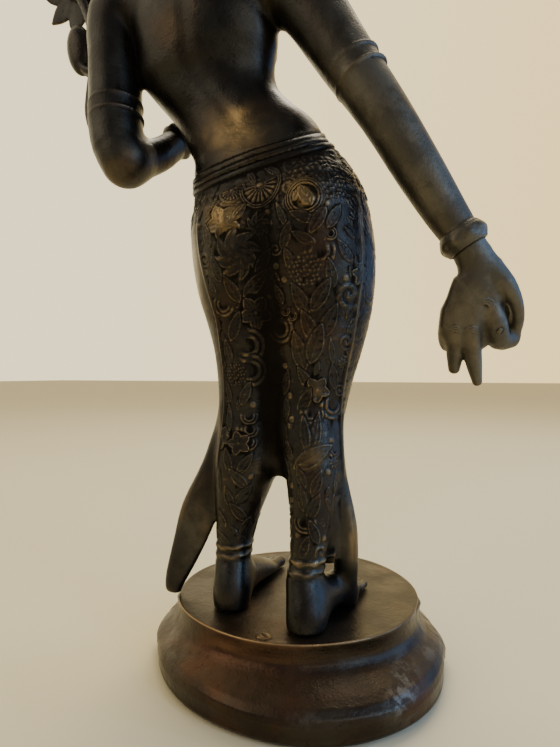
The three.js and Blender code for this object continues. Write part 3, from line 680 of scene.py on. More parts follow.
def paint(piece, rounds, ridge, hollow_shade, rubbed_and_highlight=(), dust_and_light=(), shade=None, calm=None, rim=None):
    """Stores the numbers that the bronze material reads: gold on abraded ridges plus painted highlight, painted shade
    in hollows, copper patches of abraded metal plus painted highlights, and pale patches of dust plus painted light.
    """
    stands = bulge(piece, rounds)
    verts, normals = read_mesh(piece)
    # Gold on ridges: abraded high points that also stand in for their highlights; rim adds a painted highlight along
    # the plinth's front.
    wear_and_highlight = stands / ridge * (1 if calm is None else calm(verts)) + (0 if rim is None else rim(verts, normals))
    # Painted shade: hollows are darkened by their depth, plus the shade that the shade function adds.
    deep = np.clip(-stands / hollow_shade, 0, 1) + (0 if shade is None else shade(verts))
    pale = patches(verts, normals, dust_and_light)
    # Painted light: the whole right arm is painted paler, as it looks lit by the room.
    if piece.name == "torso":
        pale += 0.85 * soft_step(-24 - verts[:, 0], 16)
    for key, values in (("wear_and_highlight", wear_and_highlight), ("hollow_shade", deep), ("rubbed_and_highlight", patches(verts, normals, rubbed_and_highlight)),
                        ("dust_and_light", pale)):
        layer = piece.data.attributes.new(key, "FLOAT", "POINT")
        layer.data.foreach_set("value", np.clip(values, 0, 1).astype(np.float32))


def finer(piece):
    smooth = piece.modifiers.new("finer", "SUBSURF")
    smooth.levels = smooth.render_levels = 1
    apply_modifiers(piece)


BUDGET = 192000


# ---------------------------------------------------------------- low relief

RELIEF_SEED = 11
CAMERA_MM = np.array(CAMERA_AT) * 1000 - STAND
LOOK_DIR = unit(LOOK)
RIGHT_DIR = unit(np.cross(LOOK_DIR, [0, 0, 1]))
PHOTO_CENTRE = (280.0, 373.5)


def picture(verts):
    """Where each vertex falls in the picture, and how far ahead of the camera it is."""
    off = verts - CAMERA_MM
    ahead = off @ LOOK_DIR
    return (PHOTO_CENTRE[0] + FOCAL_PIXELS * (off @ RIGHT_DIR) / ahead,
            PHOTO_CENTRE[1] - FOCAL_PIXELS * off[:, 2] / ahead, ahead)


def bump(x, width):
    """A smooth ridge, 1 in its middle."""
    return np.exp(-(x / width) ** 2)


def soft_step(x, width):
    return np.clip(x / width * 0.5 + 0.5, 0, 1)


def between(value, low, high, soft):
    return soft_step(value - low, soft) * soft_step(high - value, soft)


def flower(u, v, rho, theta, petals=5, twist=0.0):
    """Pointed petals round a small boss, each with a raised edge and a grooved midrib."""
    swing = ((theta + twist * rho) * petals / (2 * math.pi)) % 1 - 0.5
    across = np.abs(rho * np.sin(swing * 2 * math.pi / petals))
    half = 2.2 / petals * np.clip(np.sin(math.pi * np.clip((rho - 0.1) / 0.92, 0, 1)), 0, 1) ** 0.7 + 1e-6
    edge = bump(across - half * 0.8, 0.07) * (rho > 0.25)
    petal = soft_step(half - across, 0.06) * (0.45 + 0.25 * np.clip(1 - across / half, 0, 1) + 0.5 * edge)
    petal *= 1 - 0.5 * bump(across, 0.035) * (rho > 0.3)
    return np.maximum(petal, np.sqrt(np.clip(1 - (rho / 0.2) ** 2, 0, 1))), soft_step(1.02 - rho, 0.06)


def swirl(u, v, rho, theta):
    return flower(u, v, rho, theta, petals=8, twist=1.1)


def fan(u, v, rho, theta, ribs=9):
    """A shell whose ribs open downwards, with a double rim."""
    open_side = soft_step(0.2 - v, 0.12)
    ribbed = (1 - 0.8 * np.abs(np.cos(ribs * theta)) ** 6) * between(rho, 0.16, 0.76, 0.08)
    rim = between(rho, 0.82, 0.89, 0.03) + between(rho, 0.93, 0.99, 0.03)
    hub = np.sqrt(np.clip(1 - (rho / 0.2) ** 2, 0, 1))
    return open_side * np.maximum(np.maximum(ribbed * 0.85, rim), hub), open_side * soft_step(1.03 - rho, 0.06)


def leaf(u, v, rho, theta, slim=0.4):
    """A pointed leaf along v: a sunk blade between a raised edge and a midrib, with slanting veins."""
    half = slim * np.clip(1 - v * v, 0, 1) ** 0.75 * (1 - 0.25 * v) + 1e-6
    inside = soft_step(half - np.abs(u), 0.07) * (np.abs(v) < 1)
    edge = bump(np.abs(u) - half + 0.07, 0.06)
    veins = 0.2 * np.abs(np.sin((v - np.abs(u)) * 8)) ** 3
    return inside * np.maximum(np.maximum(0.95 * edge, 0.9 * bump(u, 0.05) * (v < 0.8)), 0.4 + veins), \
        soft_step(half + 0.07 - np.abs(u), 0.05) * (np.abs(v) < 1.02)


def slim_leaf(u, v, rho, theta):
    return leaf(u, v, rho, theta, slim=0.27)


def scroll(u, v, rho, theta, turns=1.5):
    """A curled tendril."""
    phase = (rho * turns - theta / (2 * math.pi)) % 1
    return np.sqrt(np.clip(1 - ((phase - 0.5) / 0.3) ** 2, 0, 1)) * soft_step(0.98 - rho, 0.08), \
        soft_step(1.02 - rho, 0.08)


def boss(u, v, rho, theta):
    """A rosette: a leaf and its bud laid on a low round boss with rims that open on one side."""
    dome = 0.3 * np.sqrt(np.clip(1 - (rho / 0.62) ** 2, 0, 1))
    blade, _ = leaf(u * 1.3 + v * 0.8 - 0.1, v * 1.3 - u * 0.8 - 0.1, rho, theta, slim=0.5)
    bud, _ = leaf(u * 2.2 - v * 1.2 + 1.1, v * 2.2 + u * 1.2 + 0.2, rho, theta, slim=0.5)
    rims = between(rho, 0.66, 0.74, 0.03) + between(rho, 0.8, 0.87, 0.03) + 0.8 * between(rho, 0.93, 0.98, 0.02)
    inner = dome + 0.8 * np.maximum(blade, bud) * (rho < 0.64)
    return np.maximum(inner, rims * soft_step(0.8 - u, 0.4)), soft_step(1.02 - rho, 0.06)


def crescent(u, v, rho, theta):
    """A cup of two leaves, one inside the other."""
    band = between(rho, 0.72, 0.94, 0.05) + 0.8 * between(rho, 0.38, 0.6, 0.05)
    return band * soft_step(0.2 - v, 0.2), soft_step(1.02 - rho, 0.06) * soft_step(0.4 - v, 0.12)


def pearl(u, v, rho, theta):
    return np.sqrt(np.clip(1 - (rho / 0.85) ** 2, 0, 1)), soft_step(1.0 - rho, 0.1)


def tuft(u, v, rho, theta):
    """Three leaves that part from one root at the foot."""
    total, cover = np.zeros_like(u), np.zeros_like(u)
    for tilt in (-0.55, 0.55, 0.0):
        c, s = math.cos(tilt), math.sin(tilt)
        x, y = u * c + (v + 0.9) * s, -u * s + (v + 0.9) * c - 0.95
        h, m = leaf(x, y, rho, theta, slim=0.27)
        total, cover = np.where(m > 0.4, h, total), np.maximum(cover, m)
    return total, cover


def grains(u, v, rho, theta):
    """A patch of small uneven grains."""
    cell = 0.24
    row = np.round(v / cell)
    shift = (row % 2) * 0.5
    column = np.round(u / cell - shift) + shift
    wobble = np.sin(row * 12.9 + column * 78.2) * 43.7
    wobble = (wobble - np.floor(wobble) - 0.5) * 0.14
    near = np.hypot(u - column * cell - wobble, v - row * cell + wobble * 0.8)
    return bump(near, 0.085) * soft_step(1 - rho, 0.15), soft_step(1 - rho, 0.2)


def crease(u, v, rho, theta):
    """Nested wrinkles over a knuckle."""
    arch = v + 0.7 * u * u
    lines = sum(bump(arch - at, 0.1) for at in (0.5, 0.15, -0.2))
    return lines, soft_step(0.8 - rho, 0.4)


def nail(u, v, rho, theta):
    plate = soft_step(0.55 - np.abs(u), 0.1) * soft_step(0.75 - np.abs(v), 0.12)
    rim = bump(np.maximum(np.abs(u) - 0.62, np.abs(v) - 0.82), 0.12) * (v > -0.7)
    return plate * 0.5 - rim, soft_step(1.0 - rho, 0.2)


class Relief:
    """Low relief stamped on a mesh along its normals."""

    def __init__(self, verts, normals):
        self.verts, self.normals = verts, normals
        self.height = np.zeros(len(verts))
        self.order = np.argsort(verts[:, 2])
        self.levels = verts[self.order, 2]
        self.taken, self.count = np.zeros((9000, 4)), 0
        self.px, self.py, self.ahead = picture(verts)
        self.seen = np.einsum("ij,ij->i", normals, CAMERA_MM - verts) > 0

    def near(self, at, reach):
        low, high = np.searchsorted(self.levels, (at[2] - reach, at[2] + reach))
        ids = self.order[low:high]
        return ids[np.abs(self.verts[ids, :2] - at[:2]).max(1) < reach]

    def at_pixel(self, x, y):
        far = (self.px - x) ** 2 + (self.py - y) ** 2
        close = self.seen & (far < 5)
        if not close.any():
            return int(np.argmin(far + 1e6 * ~self.seen))
        return int(np.argmin(np.where(close, self.ahead, 1e9)))

    def free(self, at, size, tight):
        taken = self.taken[:self.count]
        return bool((((taken[:, :3] - at) ** 2).sum(1) > (tight * (size + taken[:, 3])) ** 2).all())

    def take(self, index, size):
        self.taken[self.count] = (*self.verts[index], size)
        self.count += 1

    def stamp(self, index, size, form, turn=0.0):
        at, n = self.verts[index], self.normals[index]
        ids = self.near(at, size * 1.15)
        ids = ids[self.normals[ids] @ n > 0.15]
        up = unit(np.array([0, 0, 1.0]) - n[2] * n)
        side = np.cross(up, n)
        off = (self.verts[ids] - at) / size
        c, s = math.cos(math.radians(turn)), math.sin(math.radians(turn))
        a, b = off @ side, off @ up
        u, v = a * c + b * s, -a * s + b * c
        rho, theta = np.hypot(u, v), np.arctan2(v, u)
        height, cover = form(u, v, rho, theta)
        cover = cover * soft_step(1.1 - rho, 0.1)
        moat = -0.3 * (cover > 0.02) * (1 - np.clip(height * 2.5, 0, 1))
        self.height[ids] = self.height[ids] * (1 - cover) + cover * (FORM_STRENGTH[form] * (height + moat))


def roughness_noise(p, scale, seed):
    """Cheap smooth noise from a few slanted waves."""
    rng = np.random.default_rng(seed)
    total = np.zeros(len(p))
    for _ in range(7):
        k = rng.normal(size=3) / scale
        total += np.sin(p @ k + rng.uniform(0, 6.28))
    return total / 4


# the ornament that shows on the back of the skirt: form, pixel x and y, size in mm, turn in degrees
BACK_ORNAMENT = [
    ("grains", 314, 166, 11.0, 0), ("grains", 333, 182, 8.0, 0), ("leaf", 250, 176, 4.4, 30), ("leaf", 271, 169, 4.8, 60),
    ("leaf", 281, 176, 4.0, 70), ("scroll", 287, 184, 4.2, 60), ("scroll", 289, 201, 3.8, 200), ("fan", 231, 189, 6.6, 20),
    ("fan", 259, 185, 10.4, 14), ("boss", 304, 194, 8.6, 0), ("flower", 221, 221, 8.6, 12), ("leaf", 238, 210, 5.2, -40),
    ("swirl", 256, 226, 6.2, 0), ("slim_leaf", 279, 214, 6.4, 24), ("leaf", 300, 217, 6.0, 66), ("leaf", 318, 222, 7.0, 150),
    ("leaf", 336, 214, 6.4, -30), ("leaf", 205, 236, 5.6, 10), ("leaf", 284, 236, 6.4, -20), ("leaf", 301, 238, 6.0, 60),
    ("swirl", 236, 256, 11.6, 0), ("crescent", 318, 252, 7.6, 8), ("leaf", 262, 262, 7.0, -38), ("leaf", 288, 262, 6.6, 20),
    ("grains", 304, 272, 8.0, 0), ("leaf", 214, 270, 6.4, 16), ("leaf", 254, 284, 8.6, -46), ("leaf", 332, 274, 6.6, 14),
    ("leaf", 298, 299, 8.4, 26), ("leaf", 320, 296, 8.4, -30), ("leaf", 230, 290, 7.4, 30), ("crescent", 222, 306, 6.0, -30),
    ("flower", 254, 314, 8.2, 20), ("leaf", 331, 322, 8.6, -24), ("leaf", 307, 327, 8.4, 24), ("leaf", 233, 326, 7.4, -20),
    ("leaf", 297, 352, 9.4, 14), ("leaf", 315, 345, 9.4, -16), ("crescent", 246, 346, 8.6, 70), ("leaf", 226, 352, 6.2, 10),
    ("slim_leaf", 333, 352, 6.0, 10), ("crescent", 250, 372, 8.0, 70), ("grains", 234, 376, 6.4, 0), ("leaf", 302, 378, 6.0, 30),
    ("flower", 319, 390, 5.8, 18), ("leaf", 335, 378, 6.0, 12), ("leaf", 303, 400, 6.6, -24), ("leaf", 226, 392, 6.2, 12),
    ("leaf", 244, 394, 6.0, -24), ("crescent", 311, 411, 5.6, 0), ("slim_leaf", 228, 416, 6.8, 6), ("crescent", 250, 414, 4.4, 0),
    ("crescent", 250, 427, 4.4, 0), ("crescent", 250, 440, 4.4, 0), ("slim_leaf", 318, 430, 9.0, -8),
    ("slim_leaf", 303, 432, 8.6, 8), ("flower", 237, 442, 5.6, 0), ("leaf", 312, 455, 10.0, -58), ("leaf", 226, 458, 5.8, 20),
    ("leaf", 244, 462, 6.0, -36), ("leaf", 299, 476, 5.4, 24), ("leaf", 318, 482, 6.0, -20), ("leaf", 236, 480, 6.4, 44),
    ("leaf", 227, 498, 5.6, 20), ("leaf", 245, 496, 6.0, -40), ("leaf", 300, 498, 6.0, 10), ("leaf", 315, 506, 6.4, -24),
    ("leaf", 238, 514, 6.0, 40), ("crescent", 302, 522, 5.4, 0), ("leaf", 247, 526, 4.8, -30), ("leaf", 316, 532, 5.6, 20),
    ("leaf", 303, 546, 5.0, -20),
]
FORM_STRENGTH = {flower: 0.75, swirl: 0.5, fan: 0.6, leaf: 0.5, slim_leaf: 0.5, scroll: 0.3, boss: 0.8, crescent: 0.5,
                 tuft: 0.5, grains: 0.45, pearl: 0.4, crease: 0.5, nail: 0.5}
FORMS = {form.__name__: form for form in FORM_STRENGTH}
SKIRT_AXIS = (5.0, 11.0)
LEFT_PANEL, RIGHT_PANEL = (-16, 39), (164, 232)   # degrees round the skirt: plain cloth, light scrollwork
PLEATS_PITCH = 3.6
FILL_SIZES = (7.0, 6.0, 5.0, 4.0, 3.2, 2.5, 1.9)
FILL_TRIES = (900, 1500, 2000, 2600, 3000, 3400, 3600)
FILL_FORMS = (leaf, slim_leaf, scroll, leaf, flower, leaf, tuft, slim_leaf, crescent, leaf, swirl, leaf)


def pleat_zone(verts):
    """The pleated fall of cloth between the legs in front, and the phase of its pleats."""
    x, y, z = verts.T
    across = x - 3 - (z - 130) * 0.03
    return soft_step(-2 - y, 4) * soft_step(9.5 - np.abs(across), 2) * (z > 84), across


def plain_zone(verts):
    """Where the skirt has no ornament: tails, the recess between the legs, the left panel, the belt."""
    x, y, z = verts.T
    degrees = np.degrees(np.arctan2(y - SKIRT_AXIS[1], x - SKIRT_AXIS[0])) % 360
    left = between((degrees + 180) % 360 - 180, *LEFT_PANEL, 3) * between(z, 66, 206, 6)
    tail_left = soft_step(x - (33 + (100 - z) * 0.11), 3) * (z < 118)
    tail_right = soft_step(-x - (21.5 + (100 - z) * 0.08), 3) * (z < 118) * soft_step(24 - y, 4)
    inner = soft_step(7 - np.abs(x - 3.5), 3) * (y > 4) * soft_step(150 - z, 24)
    half = BELT["cords"] * BELT["pitch"] / 2
    return np.clip(left + tail_left + tail_right + 0.85 * inner + soft_step(belt_rise(verts) + half + 1, 1)
                   + soft_step(58.5 - z, 3), 0, 1), degrees


def skirt_relief(verts, normals):
    relief = Relief(verts, normals)
    rng = np.random.default_rng(RELIEF_SEED)
    plain, degrees = plain_zone(verts)
    pleated, across = pleat_zone(verts)
    shown = [(relief.at_pixel(x, y), size, FORMS[kind], turn) for kind, x, y, size, turn in BACK_ORNAMENT]
    for index, size, _, _ in shown:
        relief.take(index, size)
    bare = np.nonzero((plain < 0.3) & (pleated < 0.3))[0]
    flow = roughness_noise(verts, 14.0, 5)
    for level, size in enumerate(FILL_SIZES):
        for index in rng.choice(bare, FILL_TRIES[level]):
            if not relief.free(verts[index], size, 0.74):
                continue
            form = FILL_FORMS[int(rng.integers(len(FILL_FORMS)))] if size > 2.2 else pearl
            relief.take(index, size)
            relief.stamp(index, size, form, 50 * flow[index] + rng.uniform(-15, 15))
    for ornament in shown:
        relief.stamp(*ornament)
    light = between(degrees, *RIGHT_PANEL, 4) * between(verts[:, 2], 90, 215, 8)
    h = relief.height * (1 - 0.55 * light)
    h += 0.075 * roughness_noise(verts, 0.5, 3) + 0.06 * roughness_noise(verts, 1.4, 4)
    h *= 1 - plain
    x, y, z = verts.T
    h *= 1 - soft_step(6 - np.hypot(x + 21, y - 24), 2) * (z < 82)
    for edge, side in ((LEFT_PANEL[1], 1), (RIGHT_PANEL[0], 1)):
        line = bump((degrees - edge) * 0.7, 1.1) * between(verts[:, 2], 92, 208, 6)
        h = h * (1 - line) + 0.75 * line * side
    pleats = 0.8 * np.abs(np.sin(across * math.pi / PLEATS_PITCH)) ** 0.7
    h = h * (1 - pleated) + pleated * pleats
    return belt_relief(verts, belt_rise(verts), h)


def belt_relief(verts, rise, h):
    """Three soft folds of a rolled sash, which pinch together where they are gathered."""
    half = BELT["cords"] * BELT["pitch"] / 2
    wave = roughness_noise(verts * [1, 1, 0.5], 16.0, 21)
    rise = rise + 0.35 * wave
    band = soft_step(half + 0.3 - np.abs(rise), 0.6)
    folds = np.zeros(len(verts))
    for cord in range(BELT["cords"]):
        middle = (cord + 0.5) * BELT["pitch"] - half + 0.3 * np.sin(wave * 2 + cord * 2)
        folds = np.maximum(folds, np.sqrt(np.clip(1 - ((rise - middle) / (BELT["pitch"] * 0.56)) ** 2, 0, 1)))
    wrinkles = 0.12 * np.abs(np.sin(rise * 3.3 + 2.4 * wave))
    return h * (1 - band) + band * (folds * 1.2 - 0.25 - wrinkles) - 0.3 * bump(np.abs(rise) - half - 0.7, 0.5)


def hem_relief(verts):
    x, y, z = verts.T
    total = np.zeros(len(verts))
    for (cx, cy, top, radius) in ((24, 25.4, 57.6, 9.6), (-14.6, 31, 57, 9.0)):
        near = np.hypot(x - cx, y - cy) < radius + 3.5
        drop = top - z - 0.06 * (y - cy) - 0.04 * (x - cx)
        uneven = 0.25 * np.sin(np.arctan2(y - cy, x - cx) * 7 + z)
        band = near * soft_step(3.3 - np.abs(drop - 3.2), 0.5)
        for middle in (1.2, 5.0):
            total = np.maximum(total, band * (0.25 + (0.4 + uneven * 0.4) * bump(drop - middle - uneven, 0.9)))
    return total


HAND_DETAILS = [(crease, 454, 331, 3.0, 0), (crease, 472, 332, 3.2, 0), (crease, 489, 305, 3.2, -30),
                (nail, 499, 333, 1.9, -30)]
SPINE = {"low": 250, "high": 338, "depth": 0.6, "width": 4.0}
NECKLACE = {"middle": 48.5, "foot": 319.0, "rise": 0.034, "bead": 2.6}


def torso_relief(verts, normals):
    """Belt, spine, knuckles and necklace on the upper half of the figure."""
    x, y, z = verts.T
    rise = belt_rise(verts)
    arm = (x < -28 - np.maximum(240 - z, 0) * 0.44) | (np.abs(rise) > 8) | (x > 60) & (z > 245)
    h = np.where(arm, 0, belt_relief(verts, rise, np.zeros(len(verts))))
    middle = np.interp(z, [row[0] for row in TRUNK], [row[1] for row in TRUNK])
    trunk = (np.abs(x - middle) < 30) & (np.abs(rise) > 8)
    spine = bump(x - middle, SPINE["width"]) * between(z, SPINE["low"], SPINE["high"], 10) * (y > 14)
    h -= trunk * SPINE["depth"] * spine
    off = x - NECKLACE["middle"]
    drop = z - (NECKLACE["foot"] + NECKLACE["rise"] * off ** 2)
    along = np.arctan2(off, 12) * 20
    front = (y < 8) & (np.abs(off) < 26) & (normals[:, 1] < 0.2)
    beads = np.sqrt(np.clip(1 - (drop / 1.3) ** 2 - (((along / NECKLACE["bead"]) % 1 - 0.5) * 2) ** 2, 0, 1))
    h += front * (1.3 * beads + 0.7 * bump(drop - 2.4, 0.6) + 0.7 * bump(drop + 2.4, 0.6))
    relief = Relief(verts, normals)
    for form, px, py, size, turn in HAND_DETAILS:
        relief.stamp(relief.at_pixel(px, py), size, form, turn)
    return h + relief.height


skirt = as_mesh("skirt", *skirt_shell)
finer(skirt)
skirt_verts, skirt_normals = read_mesh(skirt)
skirt_height = skirt_relief(skirt_verts, skirt_normals)
skirt_height = np.maximum(skirt_height, hem_relief(skirt_verts))
lift(skirt, skirt_height, BUDGET)

torso = as_mesh("torso", *merged([body, right_hand, left_hand, lotus]))
torso_verts, torso_normals = read_mesh(torso)
torso_height = torso_relief(torso_verts, torso_normals)
lift(torso, torso_height, BUDGET)

# ---------------------------------------------------------------- head


class Local:
    """A shape given in the head's own frame."""

    def __init__(self, shape):
        self.shape, self.blend = shape, shape.blend
        corners = np.array([[x, y, z] for x in (0, 1) for y in (0, 1) for z in (0, 1)])
        box = shape.low + corners * (shape.high - shape.low)
        world = box @ HEAD_TURN.T + HEAD_AT
        self.low, self.high = world.min(0), world.max(0)

    def distance(self, p):
        return self.shape.distance(((p - HEAD_AT.astype(np.float32)) @ HEAD_TURN.astype(np.float32)))


def head_shapes():
    shapes = [
        Ball([0, 0, -1], [18.0, 20.6, 25], blend=4), Ball([0, -7, -12], [12.0, 12.0, 12.4], blend=7),
        Ball([0, -15.6, -21], [4.6, 4.4, 4.2], blend=5),
    ]
    for side in (-1, 1):
        shapes.append(Ball([side * 8.6, -13.2, -8], [6, 5.4, 6.4], blend=5))
        shapes.append(Limb([[side * 14.6, -14.6, 4.8, 0.7], [side * 8.5, -19.2, 8.2, 1.0], [side * 2.6, -21.0, 5.0, 1.0]],
                           blend=1.2))
        shapes.append(Ball([side * 7.8, -17.3, 0.6], [4.6, 2.8, 2.7], blend=0.8))
        shapes.append(Limb([[side * 13.2, -16.2, 0.2, 0.5], [side * 7.8, -19.9, 3.0, 0.8], [side * 3.0, -19.6, -0.4, 0.5]],
                           blend=0.6))
        shapes.append(Limb([[side * 12.6, -16.4, -0.4, 0.5], [side * 7.8, -19.2, -2.0, 0.7], [side * 3.2, -19.4, -0.8, 0.5]],
                           blend=0.6))
        shapes.append(Ball([side * 2.1, -22.3, -7.6], [1.5, 1.7, 1.4], blend=1.4))
        shapes.append(Ball([side * 18.4, 1, -3], [1.8, 4.2, 7], blend=1.5))
        shapes.append(Limb([[side * 18.8, 1.5, -8, 1.6], [side * 19.2, 1.2, -13, 1.4]], blend=1))
        shapes.append(Ring([side * 19.8, 1, -15.4], [1, 0, 0.1], 4.4, 1.5, blend=0.4))
        shapes.append(Ring([side * 19.8, 1, -15.4], [1, 0, 0.1], 4.4, 1.1, beads=9, blend=0.2))
        shapes.append(Ball([side * 19.8, 1, -15.4], [2.2, 2.2, 2.2], blend=0.3))
    shapes.append(Limb([[0, -20.4, 4.6, 1.3], [0, -22.2, -1.5, 1.6], [0, -23.9, -6.8, 2.1]], blend=2.2))
    shapes.append(Limb([[-5.2, -17.9, -13.9, 0.6], [-2.2, -20.3, -13.0, 1.2], [0, -20.6, -13.5, 1.0],
                        [2.2, -20.3, -13.0, 1.2], [5.2, -17.9, -13.9, 0.6]], blend=1))
    shapes.append(Limb([[-4.4, -17.8, -14.9, 0.6], [0, -19.8, -15.9, 1.5], [4.4, -17.8, -14.9, 0.6]], blend=0.9))
    return shapes


def hair_shapes():
    shapes = [Ball([0, 4.4, 4], [20.0, 20.6, 19.4], blend=0.8)]
    bun = [[12, 0, 3, 16.6, 16.6], [20, 0, 3, 16.6, 16.6], [28, 0, 3, 16.4, 16.4], [35, 0, 3, 14.2, 14.2],
           [41, 0, 3, 14.0, 14.0], [49, 0, 3, 11, 11], [55, 0, 3, 8.8, 8.8], [61, 0, 3, 4.6, 4.6], [65, 0, 3, 1.4, 1.4]]
    shapes.append(Stack(bun, blend=1.2))
    for level, radius, bar in ((16, 17.6, 2.2), (24, 17.2, 1.6), (32, 15.8, 1.8), (39, 14.6, 1.6), (46, 12.6, 1.6)):
        shapes.append(Ring([0, 3, level], [0, 0, 1], radius, bar, blend=0.8))
    shapes.append(Ball([0, 3, 64], [3.2, 3.2, 3.6], blend=0.8))
    return shapes


def diadem_shapes():
    shapes = [Ring([0, 2.6, 13], [0, -0.06, 1], 20.6, 1.9, blend=0.3),
              Ring([0, 2.6, 13], [0, -0.06, 1], 22.3, 1.1, beads=48, blend=0.2)]
    for i in range(-2, 3):
        angle = math.radians(270 + i * 34)
        out = np.array([math.cos(angle), math.sin(angle), 0])
        across = np.array([-math.sin(angle), math.cos(angle), 0])
        tall = (16, 12.5, 10.5)[abs(i)]
        foot_at = np.array([0, 2.6, 13.5]) + out * 21.2
        rows = [[*(foot_at + [0, 0, -2]), 4.6, 1.3], [*(foot_at + [0, 0, tall * 0.35]), 5.2, 1.4],
                [*(foot_at + out * 0.2 + [0, 0, tall * 0.75]), 2.8, 1.2], [*(foot_at + out * -0.6 + [0, 0, tall]), 0.7, 0.9]]
        shapes.append(Limb(rows, across=across, blend=0.5))
        shapes.append(Ball(foot_at + out * 1.4 + [0, 0, tall * 0.3], [2.1, 2.1, 3.0], blend=0.3))
    return shapes


head_parts = [Local(s) for s in head_shapes() + hair_shapes() + diadem_shapes()]
neck_part = [Limb([[52, 12, 340, 15], [51, 12, 346, 12.6], [49.5, 9.5, 357, 11.4], [48, 7, 370, 11.6]], blend=5)]
head_mesh = carve(head_parts + neck_part, (12, -34, 350), (80, 42, 462), FINE_STEP,
                  [lambda p: -(p[:, 2] - NECK_CUT + 1.0)])
head = as_mesh("head", *head_mesh)

# ---------------------------------------------------------------- plinth

plinth_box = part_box("plinth")
UNDERSIDE_RADIUS, BULGE_RADIUS, DRUM_RADIUS, DISC_RADIUS = 66.5, 69.6, 56.6, 58.0
GROOVE_HEIGHT = 17.5
DRUM_SHIFT = np.array([0.0, -1.0])
TIER_OVAL, TIER_AZIMUTH = 0.04, math.radians(140)
DRUM_WIDE, DRUM_DEEP, DRUM_AZIMUTH = 1.01, 0.95, math.radians(22)
PETAL_COUNT, PETAL_MIDDLE, PETAL_SPAN = 9, 288.0, 216.0
# radius, height, and how far up the drum (1) or down in the lower tier (0) the point belongs
PLINTH_PROFILE = [
    (0, 0, 0), (40, 0, 0), (UNDERSIDE_RADIUS - 1, 0, 0), (UNDERSIDE_RADIUS, 0.3, 0), (68.4, 1.2, 0), (69.3, 2.6, 0),
    (69.1, 4.0, 0), (69.3, 6.0, 0), (69.5, 8.4, 0), (68.7, 11, 0), (66.7, 13.4, 0.1), (63.9, 15.3, 0.25),
    (61.4, 16.9, 0.5), (59.6, 18.3, 0.75), (58.2, 19.8, 0.9), (57.3, 21.5, 1), (56.8, 23.4, 1),
    (56.8, 25.2, 1), (57.0, 27.0, 1), (57.3, 28.5, 1), (57.4, 29.3, 1), (57.2, 29.7, 1), (56.4, 29.75, 1),
    (54, 29.6, 1), (44, 29.65, 1), (30, 29.7, 1), (14, 29.7, 1), (0, 29.7, 1),
]


def petal_swell(swing, along):
    """One lotus petal on the plinth, from its root (0) to its pointed tip (1): a dome with a rim and a midrib."""
    half = np.clip(1 - np.clip(along, 0, 1) ** 2.6, 0, 1) * 0.94 + 1e-6
    inside = np.clip(1 - (swing / half) ** 2, 0, 1)
    rim = np.exp(-((np.abs(swing) - half * 0.86) / 0.07) ** 2) * 0.35
    rib = np.exp(-(swing / 0.1) ** 2) * 0.3
    return (along < 1) * (np.sqrt(inside) * (0.9 + 2.0 * np.clip(along, 0, 1)) + (rim + rib) * (inside > 0))


